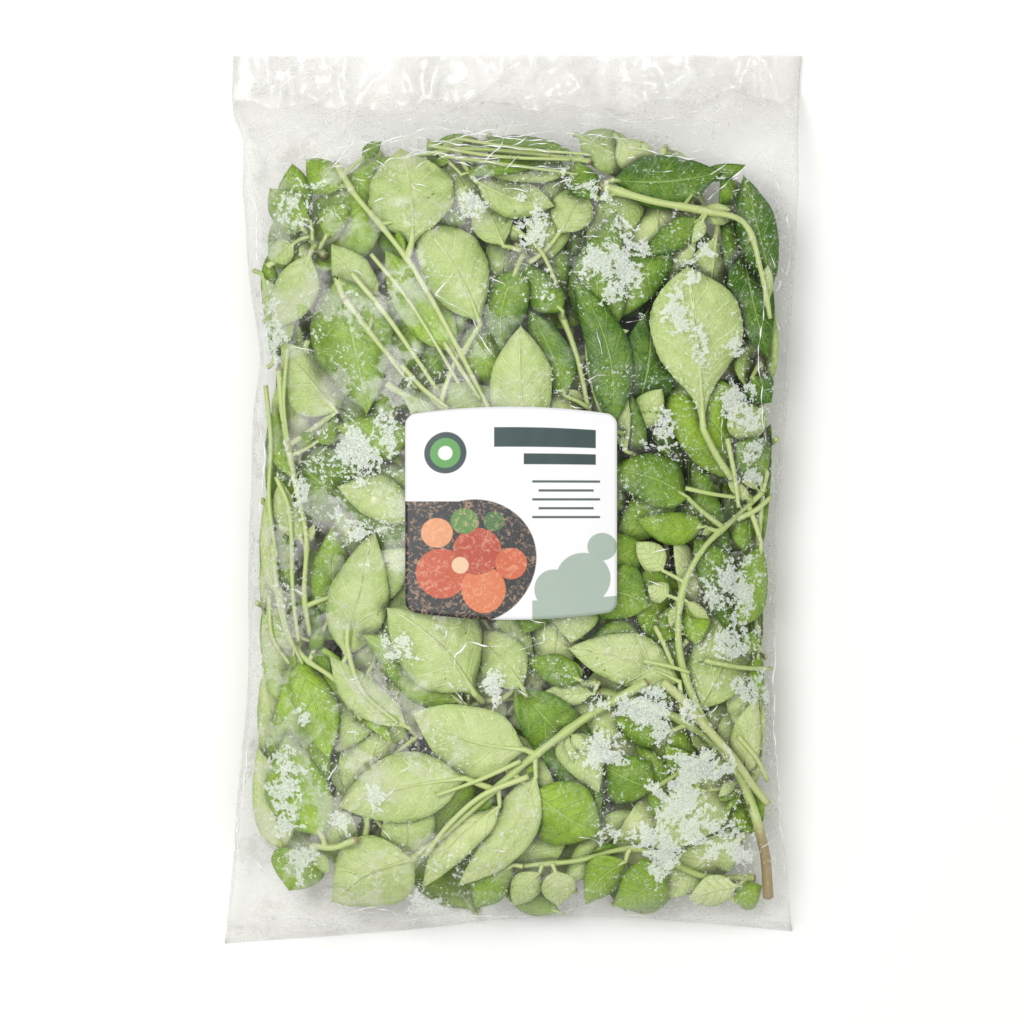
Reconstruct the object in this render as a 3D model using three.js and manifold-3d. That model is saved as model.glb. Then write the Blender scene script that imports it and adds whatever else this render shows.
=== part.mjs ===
// A clear film bag packed with cut leafy stems of fresh basil. It lies flat on its back, with a label on
// its face. Millimetres. X runs across the bag, Y from the sealed foot to the open mouth, Z up from the
// surface it lies on. The origin is under the middle of the bag, on that surface.
import * as THREE from "three";
import { mergeVertices } from "three/addons/utils/BufferGeometryUtils.js";
import Module from "manifold-3d";

const wasm = await Module();
wasm.setup();

// Driving sizes of the bag.
const mouthY = 236;
const footY = -236;
const filledHeight = 74;
const sideHeight = 26;
const filmThickness = 0.8;
const foldHalf = 1.5;
const sealDepth = 4;
const fillCentreY = -11;
const fillHalfLength = 211;
const stationsAlong = 20;
const stationsAcross = 16;
const pastMouthLength = 5;

// The curves of the filled bag: how late it thins towards its ends, how round its face is, where its back
// turns up.
const endRoundness = 4.5;
const sideRoundness = 1.2;
const domeSpread = 2.6;
const domeRise = 0.55;
const flatBackShare = 0.72;

// Where the film's two sides and its foot run, seen from above: [Y, X] for the sides and [X, Y] for the
// foot.
const leftSide = [
  [-236, -154], [-200, -149], [-159, -146], [-106, -141], [-64, -140], [0, -139],
  [45, -137], [72, -134], [105, -138], [160, -143], [190, -144], [206, -149], [236, -149],
];
const rightSide = [
  [-236, 149], [-201, 145], [-160, 141], [-106, 138], [-60, 139], [0, 141],
  [45, 145], [106, 148], [160, 151], [205, 152], [236, 154],
];
const foot = [
  [-154, -236], [-60, -229], [0, -223], [50, -222], [100, -225], [154, -230],
];

// Driving sizes of the plants.
const bladeThickness = 0.9;
const petioleHalf = 1.1;
const stemCutHalf = 2.7;
const stemTipHalf = 1.2;
const layerGap = 0.35;
const petioleBends = [0, 2, 4, 8, 12];
const cupShare = 0.055;
const pileCell = 2;
const jointSteps = 4;
const turnCost = 14;
const addedStemPoints = 2;
const stemClearance = 1.05;
const touchVolume = 1e-3;
const weldDistance = 1e-4;
const nearZero = 1e-6;
const bladeOutline = [
  [0.16, 0.72], [0.42, 1], [0.76, 0.66],
];

// The label.
const label = {
  x: -1, y: -7, width: 110, side: 102, bow: 4.3, corner: 5, thickness: 0.6, lift: 0.7, steps: 6, reach: 64,
};

// The leafy stems that show through the face of the bag, the outermost first. A stem's line
// runs from its cut end to its growing tip. Each leaf is its base X and Y, its tip X and Y, its width and
// the side of it that faces up. stemOver marks a shoot whose stem lies on top of its own leaves.
const faceStems = [
  {
    name: "corner_shoot", stemOver: true,
    line: [[-81, -177], [-94, -182], [-105, -181]],
    leaves: [[-100, -176, -119, -122, 33, "over"], [-106, -184, -118, -206, 30, "over"]],
  },
  {
    name: "upper_left_shoot", stemOver: true,
    line: [[-93, 177], [-83, 160], [-68, 142], [-53, 122], [-34, 89], [-14, 50], [-2, 25]],
    leaves: [
      [-53, 133, -59, 185, 45, "under"], [-17, 91, -50, 146, 35, "under"],
      [-88, 164, -109, 179, 19, "over"], [-53, 149, -24, 144, 14, "over"], [7, 31, 4, 91, 34, "under"],
      [-79, 179, -69, 189, 8, "over"],
    ],
  },
  {
    name: "lower_left_shoot", stemOver: true,
    line: [[70, -95], [40, -112], [9, -135], [-5, -147], [-35, -174], [-51, -186]],
    leaves: [
      [-25, -145, -92, -160, 37, "under"], [-52, -188, -96, -212, 41, "under"],
      [-7, -160, -48, -204, 20, "under"], [12, -144, -29, -203, 24, "under"],
      [6, -130, -53, -111, 37, "under"], [10, -151, 46, -175, 36, "over"],
      [25, -122, 45, -153, 21, "under"],
    ],
  },
  {
    name: "right_shoot", stemOver: true,
    line: [
      [135, -210], [132, -183], [120, -147], [98, -112], [87, -80],
      [88, -49], [99, -26], [117, -9], [131, 4],
    ],
    leaves: [
      [99, 37, 91, 123, 48, "under"], [136, 14, 117, 30, 26, "over"], [91, 1, 47, 15, 27, "over"],
      [100, -14, 64, -10, 18, "over"], [78, -37, 64, -22, 15, "under"],
      [131, -22, 118, -67, 26, "over"], [91, -56, 96, -76, 16, "over"],
      [81, -50, 70, -45, 12, "under"], [84, -55, 78, -75, 13, "over"],
    ],
  },
  {
    name: "upper_right_shoot", stemOver: true,
    line: [[46, 164], [73, 156], [100, 151], [121, 145], [130, 120], [135, 95]],
    leaves: [
      [52, 167, 110, 172, 28, "over"], [136, 112, 121, 171, 22, "over"],
      [99, 170, 123, 176, 9, "over"], [98, 151, 122, 153, 11, "under"],
      [121, 130, 134, 74, 25, "over"], [98, 147, 68, 127, 15, "over"], [45, 157, 33, 177, 17, "over"],
    ],
  },
  {
    name: "upper_middle_shoot", stemOver: false,
    line: [[73, 16], [56, 37], [46, 65], [46, 85], [52, 110]],
    leaves: [
      [52, 36, 31, 117, 23, "over"], [59, 25, 38, 100, 18, "under"], [67, 20, 60, 58, 13, "over"],
      [65, 37, 78, 58, 17, "under"], [64, 45, 71, 100, 30, "over"], [46, 83, 54, 151, 29, "over"],
    ],
  },
  {
    name: "lower_middle_shoot", stemOver: false,
    line: [[45, -95], [13, -102], [-17, -106], [-42, -118], [-62, -133]],
    leaves: [
      [-20, -101, -66, -56, 45, "under"], [-27, -106, -79, -70, 30, "over"],
      [5, -98, -24, -68, 25, "under"], [1, -98, 46, -172, 30, "over"], [35, -94, 6, -83, 16, "over"],
      [-54, -119, -96, -81, 19, "under"], [42, -101, 16, -100, 12, "under"],
    ],
  },
  {
    name: "middle_left_shoot", stemOver: true,
    line: [[-88, 105], [-62, 72], [-40, 51], [-20, 32], [-2, 5]],
    leaves: [
      [-92, 116, -76, 44, 43, "over"], [-73, 100, -95, 134, 21, "under"],
      [-29, 75, -67, 131, 23, "over"], [-52, 32, -93, 38, 22, "over"], [-51, -10, -92, 7, 23, "under"],
    ],
  },
  {
    name: "left_lower_shoot", stemOver: true,
    line: [[-126, -22], [-123, -50], [-118, -70], [-110, -82], [-92, -95], [-79, -115]],
    leaves: [
      [-106, -74, -62, -128, 15, "over"], [-114, -81, -96, -136, 23, "over"],
      [-115, -79, -130, -56, 16, "under"], [-124, -50, -128, 8, 14, "under"],
      [-87, -82, -72, -16, 31, "under"], [-96, -62, -94, -13, 22, "over"],
    ],
  },
  {
    name: "left_shoot", stemOver: true,
    line: [[-123, 69], [-120, 40], [-114, 10], [-108, -20], [-109, -50], [-106, -71]],
    leaves: [
      [-92, 46, -122, 83, 32, "under"], [-115, 11, -125, 49, 13, "over"],
      [-110, -22, -122, 11, 15, "under"], [-115, -46, -122, -2, 10, "over"],
      [-83, -48, -53, -25, 26, "under"], [-103, 30, -92, 44, 14, "over"],
    ],
  },
  {
    name: "left_corner_shoot", stemOver: false,
    line: [[-98, 127], [-109, 141], [-117, 155], [-120, 165]],
    leaves: [
      [-106, 129, -127, 89, 24, "under"], [-110, 142, -128, 164, 20, "over"],
      [-106, 146, -126, 151, 15, "under"], [-109, 151, -116, 177, 18, "over"],
      [-98, 137, -86, 155, 15, "over"], [-115, 134, -129, 126, 14, "under"],
    ],
  },
  {
    name: "top_shoot", stemOver: true,
    line: [[41, 177], [6, 182], [-24, 184], [-50, 181]],
    leaves: [
      [-27, 170, 26, 178, 9, "over"], [28, 170, -23, 174, 11, "under"], [33, 181, -24, 187, 8, "over"],
      [-19, 166, 22, 153, 22, "under"], [-45, 182, -18, 190, 9, "over"],
    ],
  },
  {
    name: "lower_right_shoot", stemOver: true,
    line: [[45, -100], [65, -106], [91, -117], [117, -141], [128, -172]],
    leaves: [
      [87, -95, 28, -77, 28, "under"], [81, -121, 53, -115, 24, "over"],
      [73, -151, 45, -137, 27, "over"], [97, -152, 79, -128, 15, "over"],
      [117, -149, 73, -182, 32, "under"], [118, -156, 129, -177, 24, "over"],
      [122, -145, 130, -102, 18, "under"],
    ],
  },
  {
    name: "centre_shoot", stemOver: false,
    line: [[1, 134], [13, 117], [24, 99], [33, 75], [41, 40]],
    leaves: [
      [2, 120, -6, 76, 25, "over"], [27, 54, 7, 100, 20, "over"], [26, 98, -1, 127, 18, "over"],
      [-5, 132, -19, 160, 22, "under"], [24, 139, 38, 166, 22, "under"],
    ],
  },
  {
    name: "foot_shoot", stemOver: false,
    line: [[128, -200], [100, -198], [65, -183], [33, -189], [5, -192]],
    leaves: [
      [118, -203, 92, -210, 17, "under"], [117, -212, 132, -204, 16, "over"],
      [79, -193, 53, -214, 28, "over"], [59, -189, 38, -213, 22, "over"],
      [22, -194, 24, -214, 18, "under"], [14, -195, 0, -214, 16, "under"],
      [0, -191, -20, -215, 22, "over"],
    ],
  },
  {
    name: "right_side_shoot", stemOver: false,
    line: [[130, 75], [131, 50], [132, 25], [130, -10], [127, -50], [129, -80]],
    leaves: [
      [125, 64, 137, 51, 18, "over"], [131, -77, 120, -71, 14, "over"],
      [130, -45, 120, -30, 20, "under"], [130, -80, 132, -110, 16, "over"],
      [128, 30, 117, 52, 22, "under"],
    ],
  },
  {
    name: "label_shoot", stemOver: false,
    line: [[-30, 10], [-5, -10], [25, -30], [45, -50], [65, -70]],
    leaves: [
      [43, -48, 71, -56, 31, "over"], [30, -35, 5, -70, 30, "over"], [50, -34, 70, -24, 24, "over"],
      [-15, -5, -45, -50, 34, "over"], [-5, 0, 25, 35, 34, "under"], [-20, 5, -42, 37, 30, "over"],
      [40, -45, 30, -75, 26, "under"], [65, -70, 40, -75, 20, "over"],
    ],
  },
];

// The stems packed behind them, laid by rule: those on the bag's back, and those right behind the face's.
const backStems = { count: 6, seed: 11, leafPairs: 4, halfSpan: 100, reach: 164, pitch: 46 };
const innerStems = { count: 4, seed: 12, leafPairs: 4, halfSpan: 92, reach: 174, pitch: 52 };
const packedStem = { sway: 14, middleSpread: 20, endSpread: 40, pairSpread: 10 };
const packedLeaf = { least: 52, most: 76, slimness: 0.6, petiole: 9, leastTurn: 0.75, mostTurn: 1.3 };
const tipRoom = { left: -125, right: 127, foot: -204, mouth: 184 };

const clamp = (value, low, high) => Math.min(high, Math.max(low, value));
const mix = (a, b, share) => a + (b - a) * share;

// A seeded draw between 0 and 1.
function seededDraw(seed) {
  let state = seed >>> 0;
  return () => {
    state = (state + 0x6d2b79f5) >>> 0;
    let t = Math.imul(state ^ (state >>> 15), state | 1);
    t = (t + Math.imul(t ^ (t >>> 7), t | 61)) ^ t;
    return ((t ^ (t >>> 14)) >>> 0) / 4294967296;
  };
}

// A smooth line through [at, value] points, read at one place.
function smoothThrough(points, at) {
  const last = points.length - 1;
  const x = clamp(at, points[0][0], points[last][0]);
  let i = 0;
  while (i < last - 1 && x > points[i + 1][0]) i += 1;
  const slope = (k) => {
    const a = points[Math.max(k - 1, 0)];
    const b = points[Math.min(k + 1, last)];
    return (b[1] - a[1]) / (b[0] - a[0]);
  };
  const [x0, y0] = points[i];
  const [x1, y1] = points[i + 1];
  const step = x1 - x0;
  const t = (x - x0) / step;
  return (
    (2 * t ** 3 - 3 * t ** 2 + 1) * y0 +
    (t ** 3 - 2 * t ** 2 + t) * step * slope(i) +
    (3 * t ** 2 - 2 * t ** 3) * y1 +
    (t ** 3 - t ** 2) * step * slope(i + 1)
  );
}

// How full the bag is at a place along it: 1 in the middle, 0 past either end of the plants.
function fullness(y) {
  const t = clamp(Math.abs(y - fillCentreY) / fillHalfLength, 0, 1);
  return Math.sqrt(1 - t ** endRoundness);
}

// Height of the film's outside at a share across (-1 left side, 1 right side) and a place along the bag.
function filmTop(across, y) {
  const edge = foldHalf + sideHeight * fullness(y) ** sideRoundness;
  const dome = (1 - Math.min(Math.abs(across), 1) ** domeSpread) ** domeRise;
  return edge + foldHalf + (filledHeight - edge - foldHalf) * dome * fullness(y);
}

// The same for its back, which lies flat in the middle and turns up at the sides.
function filmBack(across, y) {
  const edge = sideHeight * fullness(y) ** sideRoundness;
  const past = clamp((Math.abs(across) - flatBackShare) / (1 - flatBackShare), 0, 1);
  return edge * (1 - Math.sqrt(1 - past * past));
}

// Shares from -1 to 1, closer together towards the ends.
function sharesToEnds(count, crowding) {
  return Array.from({ length: count + 1 }, (_, k) => {
    const even = (2 * k) / count - 1;
    return crowding * Math.sin((even * Math.PI) / 2) + (1 - crowding) * even;
  });
}

// One closed turn of the film's outside, as points [X, Y, Z]: over the face from left to right, then back
// under.
function filmLoop(along) {
  const across = sharesToEnds(stationsAcross, 0.7);
  const spot = (share, height) => {
    const level = mix(footY, mouthY, along);
    const x = mix(smoothThrough(leftSide, level), smoothThrough(rightSide, level), (share + 1) / 2);
    const y = mix(smoothThrough(foot, x), mouthY, along);
    return [x, y, height(share, y)];
  };
  return [
    ...across.map((share) => spot(share, filmTop)),
    ...across.toReversed().map((share) => spot(share, filmBack)),
  ];
}

// The same turn of film, drawn in by the film's thickness.
function drawnIn(loop) {
  return loop.map((here, i) => {
    const before = loop.at(i - 1);
    const after = loop[(i + 1) % loop.length];
    const a = new THREE.Vector2(here[0] - before[0], here[2] - before[2]).normalize();
    const b = new THREE.Vector2(after[0] - here[0], after[2] - here[2]).normalize();
    const inwards = new THREE.Vector2(a.y + b.y, -a.x - b.x);
    const mitre = (filmThickness * 2) / inwards.lengthSq();
    return [here[0] + inwards.x * mitre, here[1], here[2] + inwards.y * mitre];
  });
}

// A closed skin over rings of points that have the same count, capped at both ends. The under half is cut
// along the same diagonals in plan as the upper half, so that a thin blade keeps its thickness where it
// twists.
function skinOver(rings) {
  const count = rings[0].length;
  const faces = [];
  for (let r = 0; r + 1 < rings.length; r += 1)
    for (let i = 0; i < count; i += 1) {
      const a = r * count + i;
      const b = r * count + ((i + 1) % count);
      if (i < count / 2) faces.push([a, b, b + count], [a, b + count, a + count]);
      else faces.push([a, b, a + count], [b, b + count, a + count]);
    }
  const end = (rings.length - 1) * count;
  for (let i = 1; i + 1 < count; i += 1) faces.push([0, i + 1, i], [end, end + i, end + i + 1]);
  return { points: rings.flat(), faces };
}

// Six times the volume inside a closed set of faces, below 0 where they face inwards.
function signedVolume(faces, point) {
  return faces.reduce((sum, [a, b, c]) => {
    const [p, q, r] = [point(a), point(b), point(c)];
    return sum + p[0] * (q[1] * r[2] - q[2] * r[1]) + p[1] * (q[2] * r[0] - q[0] * r[2])
      + p[2] * (q[0] * r[1] - q[1] * r[0]);
  }, 0);
}

function solidFrom({ points, faces }) {
  const inverted = signedVolume(faces, (i) => points[i]) < 0;
  const turned = inverted ? faces.map(([a, b, c]) => [a, c, b]) : faces;
  return new wasm.Manifold(new wasm.Mesh({
    numProp: 3,
    vertProperties: new Float32Array(points.flat()),
    triVerts: new Uint32Array(turned.flat()),
  }));
}

function solidFromGeometry(geometry) {
  geometry.deleteAttribute("normal");
  geometry.deleteAttribute("uv");
  const merged = mergeVertices(geometry, weldDistance);
  return new wasm.Manifold(new wasm.Mesh({
    numProp: 3,
    vertProperties: new Float32Array(merged.attributes.position.array),
    triVerts: new Uint32Array(merged.index.array),
  }));
}

function meshFrom(name, solid, material) {
  const made = solid.getMesh();
  const geometry = new THREE.BufferGeometry();
  geometry.setAttribute("position", new THREE.BufferAttribute(new Float32Array(made.vertProperties), 3));
  geometry.setIndex(new THREE.BufferAttribute(new Uint32Array(made.triVerts), 1));
  geometry.computeVertexNormals();
  const mesh = new THREE.Mesh(geometry, material);
  mesh.name = name;
  return mesh;
}

// The room that is left in the bag, as two height maps over its plan: the lowest thing above and the
// highest below.
const pile = {
  columns: 152,
  rows: 228,
  left: -152,
  front: -228,
  above: null,
  below: null,
};

const cellX = (x) => Math.floor((x - pile.left) / pileCell);
const cellY = (y) => Math.floor((y - pile.front) / pileCell);

// Calls visit(cell, height) for each cell that a triangle covers in plan, with one cell's width to spare.
function overCells([a, b, c], visit) {
  const spare = pileCell * 0.75;
  const low = Math.min(a[2], b[2], c[2]);
  const high = Math.max(a[2], b[2], c[2]);
  const area = (b[0] - a[0]) * (c[1] - a[1]) - (c[0] - a[0]) * (b[1] - a[1]);
  const edges = [[a, b], [b, c], [c, a]];
  const lengths = edges.map(([p, q]) => Math.hypot(q[0] - p[0], q[1] - p[1]) || 1);
  const turn = area < 0 ? -1 : 1;
  const spanX = [a[0], b[0], c[0]];
  const spanY = [a[1], b[1], c[1]];
  for (let j = cellY(Math.min(...spanY) - spare); j <= cellY(Math.max(...spanY) + spare); j += 1)
    for (let i = cellX(Math.min(...spanX) - spare); i <= cellX(Math.max(...spanX) + spare); i += 1) {
      if (i < 0 || j < 0 || i >= pile.columns || j >= pile.rows) continue;
      const x = pile.left + (i + 0.5) * pileCell;
      const y = pile.front + (j + 0.5) * pileCell;
      const inside = edges.every(([p, q], k) =>
        (turn * ((q[0] - p[0]) * (y - p[1]) - (q[1] - p[1]) * (x - p[0]))) / lengths[k] > -spare);
      if (!inside) continue;
      let height = (low + high) / 2;
      if (Math.abs(area) > nearZero) {
        const u = ((x - a[0]) * (c[1] - a[1]) - (c[0] - a[0]) * (y - a[1])) / area;
        const v = ((b[0] - a[0]) * (y - a[1]) - (x - a[0]) * (b[1] - a[1])) / area;
        height = clamp(a[2] + u * (b[2] - a[2]) + v * (c[2] - a[2]), low, high);
      }
      visit(j * pile.columns + i, height);
    }
}

// The least room under what lies above a patch, and over what lies below it.
function roomOver(patch) {
  let above = Infinity;
  let below = -Infinity;
  patch.forEach((triangle) => overCells(triangle, (cell) => {
    above = Math.min(above, pile.above[cell]);
    below = Math.max(below, pile.below[cell]);
  }));
  return { above, below };
}

function fillPile(triangles, side) {
  triangles.forEach((triangle) => overCells(triangle, (cell, height) => {
    if (side === "above") pile.above[cell] = Math.min(pile.above[cell], height);
    else pile.below[cell] = Math.max(pile.below[cell], height);
  }));
}

// A plan strip is a list of rings {left, middle, right}, each a point [X, Y].
// Its rings get the height of the surface that rests against the pile, on the side it is stacked from.
function restStrip(strip, side) {
  const patches = strip.slice(1).flatMap((ring, i) => {
    const last = strip[i];
    const flat = (p) => [p[0], p[1], 0];
    return [
      { rings: [i, i + 1], part: "left", patch: [[flat(last.left), flat(last.middle), flat(ring.middle)],
        [flat(last.left), flat(ring.middle), flat(ring.left)]] },
      { rings: [i, i + 1], part: "right", patch: [[flat(last.middle), flat(last.right), flat(ring.right)],
        [flat(last.middle), flat(ring.right), flat(ring.middle)]] },
    ];
  });
  const heights = strip.map(() => ({ left: [], middle: [], right: [] }));
  const rooms = strip.map(() => []);
  patches.forEach(({ rings, part, patch }) => {
    const room = roomOver(patch);
    rings.forEach((r) => {
      heights[r][part].push(room);
      heights[r].middle.push(room);
      rooms[r].push(room);
    });
  });
  const rest = (list) => (side === "above"
    ? Math.min(...list.map((room) => room.above)) - layerGap
    : Math.max(...list.map((room) => room.below)) + layerGap);
  const clear = rooms.every((list) => {
    const top = Math.min(...list.map((room) => room.above));
    const bottom = Math.max(...list.map((room) => room.below));
    return top - bottom > 2 * (layerGap + bladeThickness);
  });
  return {
    clear,
    heights: heights.map(({ left, middle, right }) => (
      { left: rest(left), middle: rest(middle), right: rest(right) }
    )),
  };
}

// Points along a smooth line through the given ones, from its start to its end.
function smoothLine(points, count) {
  const curve = new THREE.CatmullRomCurve3(points.map(([x, y, z = 0]) => new THREE.Vector3(x, y, z)));
  return curve.getSpacedPoints(count).map((p) => [p.x, p.y, p.z]);
}

// The place on a stem that a petiole leaves from: near its blade, and where it need turn least to reach it.
function jointOn(line, [baseX, baseY, tipX, tipY]) {
  const size = Math.hypot(tipX - baseX, tipY - baseY);
  const along = [(tipX - baseX) / size, (tipY - baseY) / size];
  let best = { cost: Infinity };
  for (let i = 0; i + 1 < line.length; i += 1)
    for (let step = 0; step < jointSteps; step += 1) {
      const place = line[i].map((v, k) => mix(v, line[i + 1][k], step / jointSteps));
      const way = [baseX - place[0], baseY - place[1]];
      const away = Math.hypot(...way);
      const straight = (way[0] * along[0] + way[1] * along[1]) / Math.max(away, nearZero);
      const cost = away + turnCost * (1 - straight);
      if (cost < best.cost) best = { cost, place };
    }
  return best.place;
}

function ringAcross(middle, direction, half) {
  const size = Math.hypot(...direction) || 1;
  const side = [(-direction[1] / size) * half, (direction[0] / size) * half];
  return {
    middle,
    left: [middle[0] + side[0], middle[1] + side[1]],
    right: [middle[0] - side[0], middle[1] - side[1]],
  };
}

// A blade's rings in plan, from where it joins its petiole to its tip.
function bladeStrip([baseX, baseY, tipX, tipY, width]) {
  const direction = [tipX - baseX, tipY - baseY];
  const at = (share) => [mix(baseX, tipX, share), mix(baseY, tipY, share)];
  return [
    ringAcross(at(0), direction, petioleHalf),
    ...bladeOutline.map(([share, fullWidth]) => ringAcross(at(share), direction, (fullWidth * width) / 2)),
    ringAcross(at(1), direction, petioleHalf / 2),
  ];
}

const stemHalfAt = (share) => mix(stemCutHalf, stemTipHalf, share);

// The stem's own rings in plan.
function stemStrip(line) {
  return line.map((p, i) => {
    const before = line[Math.max(i - 1, 0)];
    const after = line[Math.min(i + 1, line.length - 1)];
    return ringAcross(p, [after[0] - before[0], after[1] - before[1]], stemHalfAt(i / (line.length - 1)));
  });
}

// Four-sided ring around a plan ring: its two edges, and its middle above and below.
function bladeRing(ring, heights, side, cup, thick) {
  const sign = side === "above" ? 1 : -1;
  const inner = sign * Math.min(cup, 0);
  const outer = sign * Math.max(cup, 0);
  const face = heights.middle + inner;
  const back = face - sign * thick;
  const edge = (height) => height - outer - (sign * thick) / 2;
  return [
    [...ring.left, edge(heights.left)],
    [...ring.middle, Math.max(face, back)],
    [...ring.right, edge(heights.right)],
    [...ring.middle, Math.min(face, back)],
  ];
}

function roundRing(middle, direction, half) {
  const along = new THREE.Vector3(...direction).normalize();
  const across = new THREE.Vector3(-along.y, along.x, 0).normalize();
  const up = new THREE.Vector3().crossVectors(along, across);
  return [[1, 0], [0, 1], [-1, 0], [0, -1]].map(([a, b]) => [
    middle[0] + (across.x * a + up.x * b) * half,
    middle[1] + (across.y * a + up.y * b) * half,
    middle[2] + (across.z * a + up.z * b) * half,
  ]);
}

// The facets of a skin as triangles of points, for the next plant to rest against.
function facets({ points, faces }) {
  return faces.map((face) => face.map((i) => points[i]));
}

// The surfaces of a node's solid without any hollow that its joined leaves have closed in.
function withoutHollows(solid) {
  const { vertProperties, triVerts } = solid.getMesh();
  const owner = Array.from({ length: vertProperties.length / 3 }, (_, i) => i);
  const rootOf = (i) => {
    let k = i;
    while (owner[k] !== k) {
      owner[k] = owner[owner[k]];
      k = owner[k];
    }
    return k;
  };
  const faces = Array.from({ length: triVerts.length / 3 }, (_, f) => [...triVerts.slice(f * 3, f * 3 + 3)]);
  faces.forEach(([a, b, c]) => {
    owner[rootOf(a)] = rootOf(b);
    owner[rootOf(b)] = rootOf(c);
  });
  const point = (i) => [...vertProperties.slice(i * 3, i * 3 + 3)];
  const shells = new Map();
  faces.forEach((face) => {
    const key = rootOf(face[0]);
    shells.set(key, [...(shells.get(key) ?? []), face]);
  });
  const whole = [...shells.values()].filter((shell) => signedVolume(shell, point) > 0);
  const largest = whole.toSorted((m, n) => signedVolume(n, point) - signedVolume(m, point))[0];
  const kept = new Map();
  const points = [];
  const renumber = (i) => {
    if (!kept.has(i)) {
      kept.set(i, points.length);
      points.push(point(i));
    }
    return kept.get(i);
  };
  return solidFrom({ faces: largest.map((face) => face.map(renumber)), points });
}

const laid = [];
const crossesLaid = (solid) => laid.some((other) => solid.intersect(other).volume() > touchVolume);

// One leafy stem, rested against what is already in the bag. A petiole that would cross another stem is
// bent clear of it, and a leaf with no room left is not placed.
function layStem(stem, side) {
  const planLine = smoothLine(stem.line, stem.line.length + addedStemPoints);
  const sign = side === "above" ? -1 : 1;
  const stemSkin = (line) => skinOver(line.map((p, i) => {
    const before = line[Math.max(i - 1, 0)];
    const after = line[Math.min(i + 1, line.length - 1)];
    return roundRing(p, after.map((v, k) => v - before[k]), stemHalfAt(i / (line.length - 1)));
  }));
  const restStem = () => {
    const { heights } = restStrip(stemStrip(planLine), side);
    const line = planLine.map((p, i) => {
      const across = Object.values(heights[i]);
      const near = side === "above" ? Math.min(...across) : Math.max(...across);
      return [p[0], p[1], near + sign * stemHalfAt(i / (planLine.length - 1)) * stemClearance];
    });
    fillPile(facets(stemSkin(line)), side);
    return line;
  };
  const layBlade = (leaf) => {
    const strip = bladeStrip(leaf);
    const cup = (leaf[5] === "over" ? 1 : -1) * leaf[4] * cupShare;
    const { clear, heights } = restStrip(strip, side);
    if (!clear) return null;
    const rings = strip.map((ring, i) => {
      const onBlade = i > 0 && i < strip.length - 1;
      const thick = onBlade ? bladeThickness : petioleHalf * 2;
      return bladeRing(ring, heights[i], side, onBlade ? cup : 0, thick);
    });
    fillPile(facets(skinOver(rings)), side);
    return { leaf, rings };
  };
  const joinBlade = ({ leaf, rings }, stemLine) => {
    const joint = jointOn(stemLine, leaf);
    const base = rings[0][0].map((v, k) => (v + rings[0][2][k]) / 2);
    const wayOut = new THREE.Vector3(base[0] - joint[0], base[1] - joint[1], 0).normalize();
    const wayIn = new THREE.Vector3(leaf[2] - leaf[0], leaf[3] - leaf[1], 0).normalize();
    const wayOver = wayOut.clone().add(wayIn);
    for (const bend of petioleBends) {
      const middle = joint.map((v, k) => (v + base[k]) / 2 + (k === 2 ? sign * bend : 0));
      const skin = skinOver([
        roundRing(joint, wayOut.toArray(), petioleHalf),
        roundRing(middle, wayOver.toArray(), petioleHalf),
        ...rings,
      ]);
      if (!crossesLaid(solidFrom(skin))) return skin;
    }
    return null;
  };

  const lineOver = stem.stemOver ? restStem() : null;
  const blades = stem.leaves.map(layBlade).filter(Boolean);
  const stemLine = lineOver ?? restStem();
  const stemSolid = solidFrom(stemSkin(stemLine));
  if (crossesLaid(stemSolid)) return null;
  const skins = blades.map((blade) => joinBlade(blade, stemLine)).filter(Boolean);
  skins.forEach((skin) => fillPile(facets(skin), side));
  const whole = withoutHollows(skins.map(solidFrom).reduce((sum, leaf) => sum.add(leaf), stemSolid));
  laid.push(whole);
  return whole;
}

// Stems laid by rule, side by side across the bag, every other one the other way up, with leaves in
// opposite pairs.
function packedStems({ count, seed, leafPairs, halfSpan, reach, pitch }) {
  const draw = seededDraw(seed);
  return Array.from({ length: count }, (_, k) => {
    const x = mix(-halfSpan, halfSpan, k / (count - 1));
    const turned = k % 2 ? -1 : 1;
    const sway = mix(-packedStem.sway, packedStem.sway, draw());
    const start = [x, -turned * reach];
    const end = [x + sway, turned * (reach - packedStem.endSpread * draw())];
    const middle = [x - sway, mix(-packedStem.middleSpread, packedStem.middleSpread, draw())];
    const fromFoot = [start, middle, end].toSorted((a, b) => a[1] - b[1]).map(([a, b]) => [b, a]);
    const leaves = [];
    for (let pair = 0; pair < leafPairs; pair += 1) {
      const y = start[1] + turned * (pitch * (pair + 1) + packedStem.pairSpread * draw());
      [-1, 1].forEach((hand) => {
        const length = mix(packedLeaf.least, packedLeaf.most, draw());
        const turn = mix(packedLeaf.leastTurn, packedLeaf.mostTurn, draw());
        const way = [hand * Math.sin(turn), turned * Math.cos(turn)];
        const base = [
          smoothThrough(fromFoot, y) + way[0] * packedLeaf.petiole,
          y + way[1] * packedLeaf.petiole,
        ];
        const tip = [
          clamp(base[0] + way[0] * length, tipRoom.left, tipRoom.right),
          clamp(base[1] + way[1] * length, tipRoom.foot, tipRoom.mouth),
        ];
        leaves.push([...base, ...tip, length * packedLeaf.slimness, draw() < 0.5 ? "over" : "under"]);
      });
    }
    return { stemOver: k % 2 === 0, line: [start, middle, end], leaves };
  });
}

const filmMaterial = new THREE.MeshStandardMaterial({
  color: 0xf1f3ee, roughness: 0.12, metalness: 0, transparent: true, opacity: 0.22,
});
const leafMaterial = new THREE.MeshStandardMaterial({ color: 0x7fa352, roughness: 0.5, metalness: 0 });
const labelMaterial = new THREE.MeshStandardMaterial({ color: 0xeeeeee, roughness: 0.45, metalness: 0 });

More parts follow.
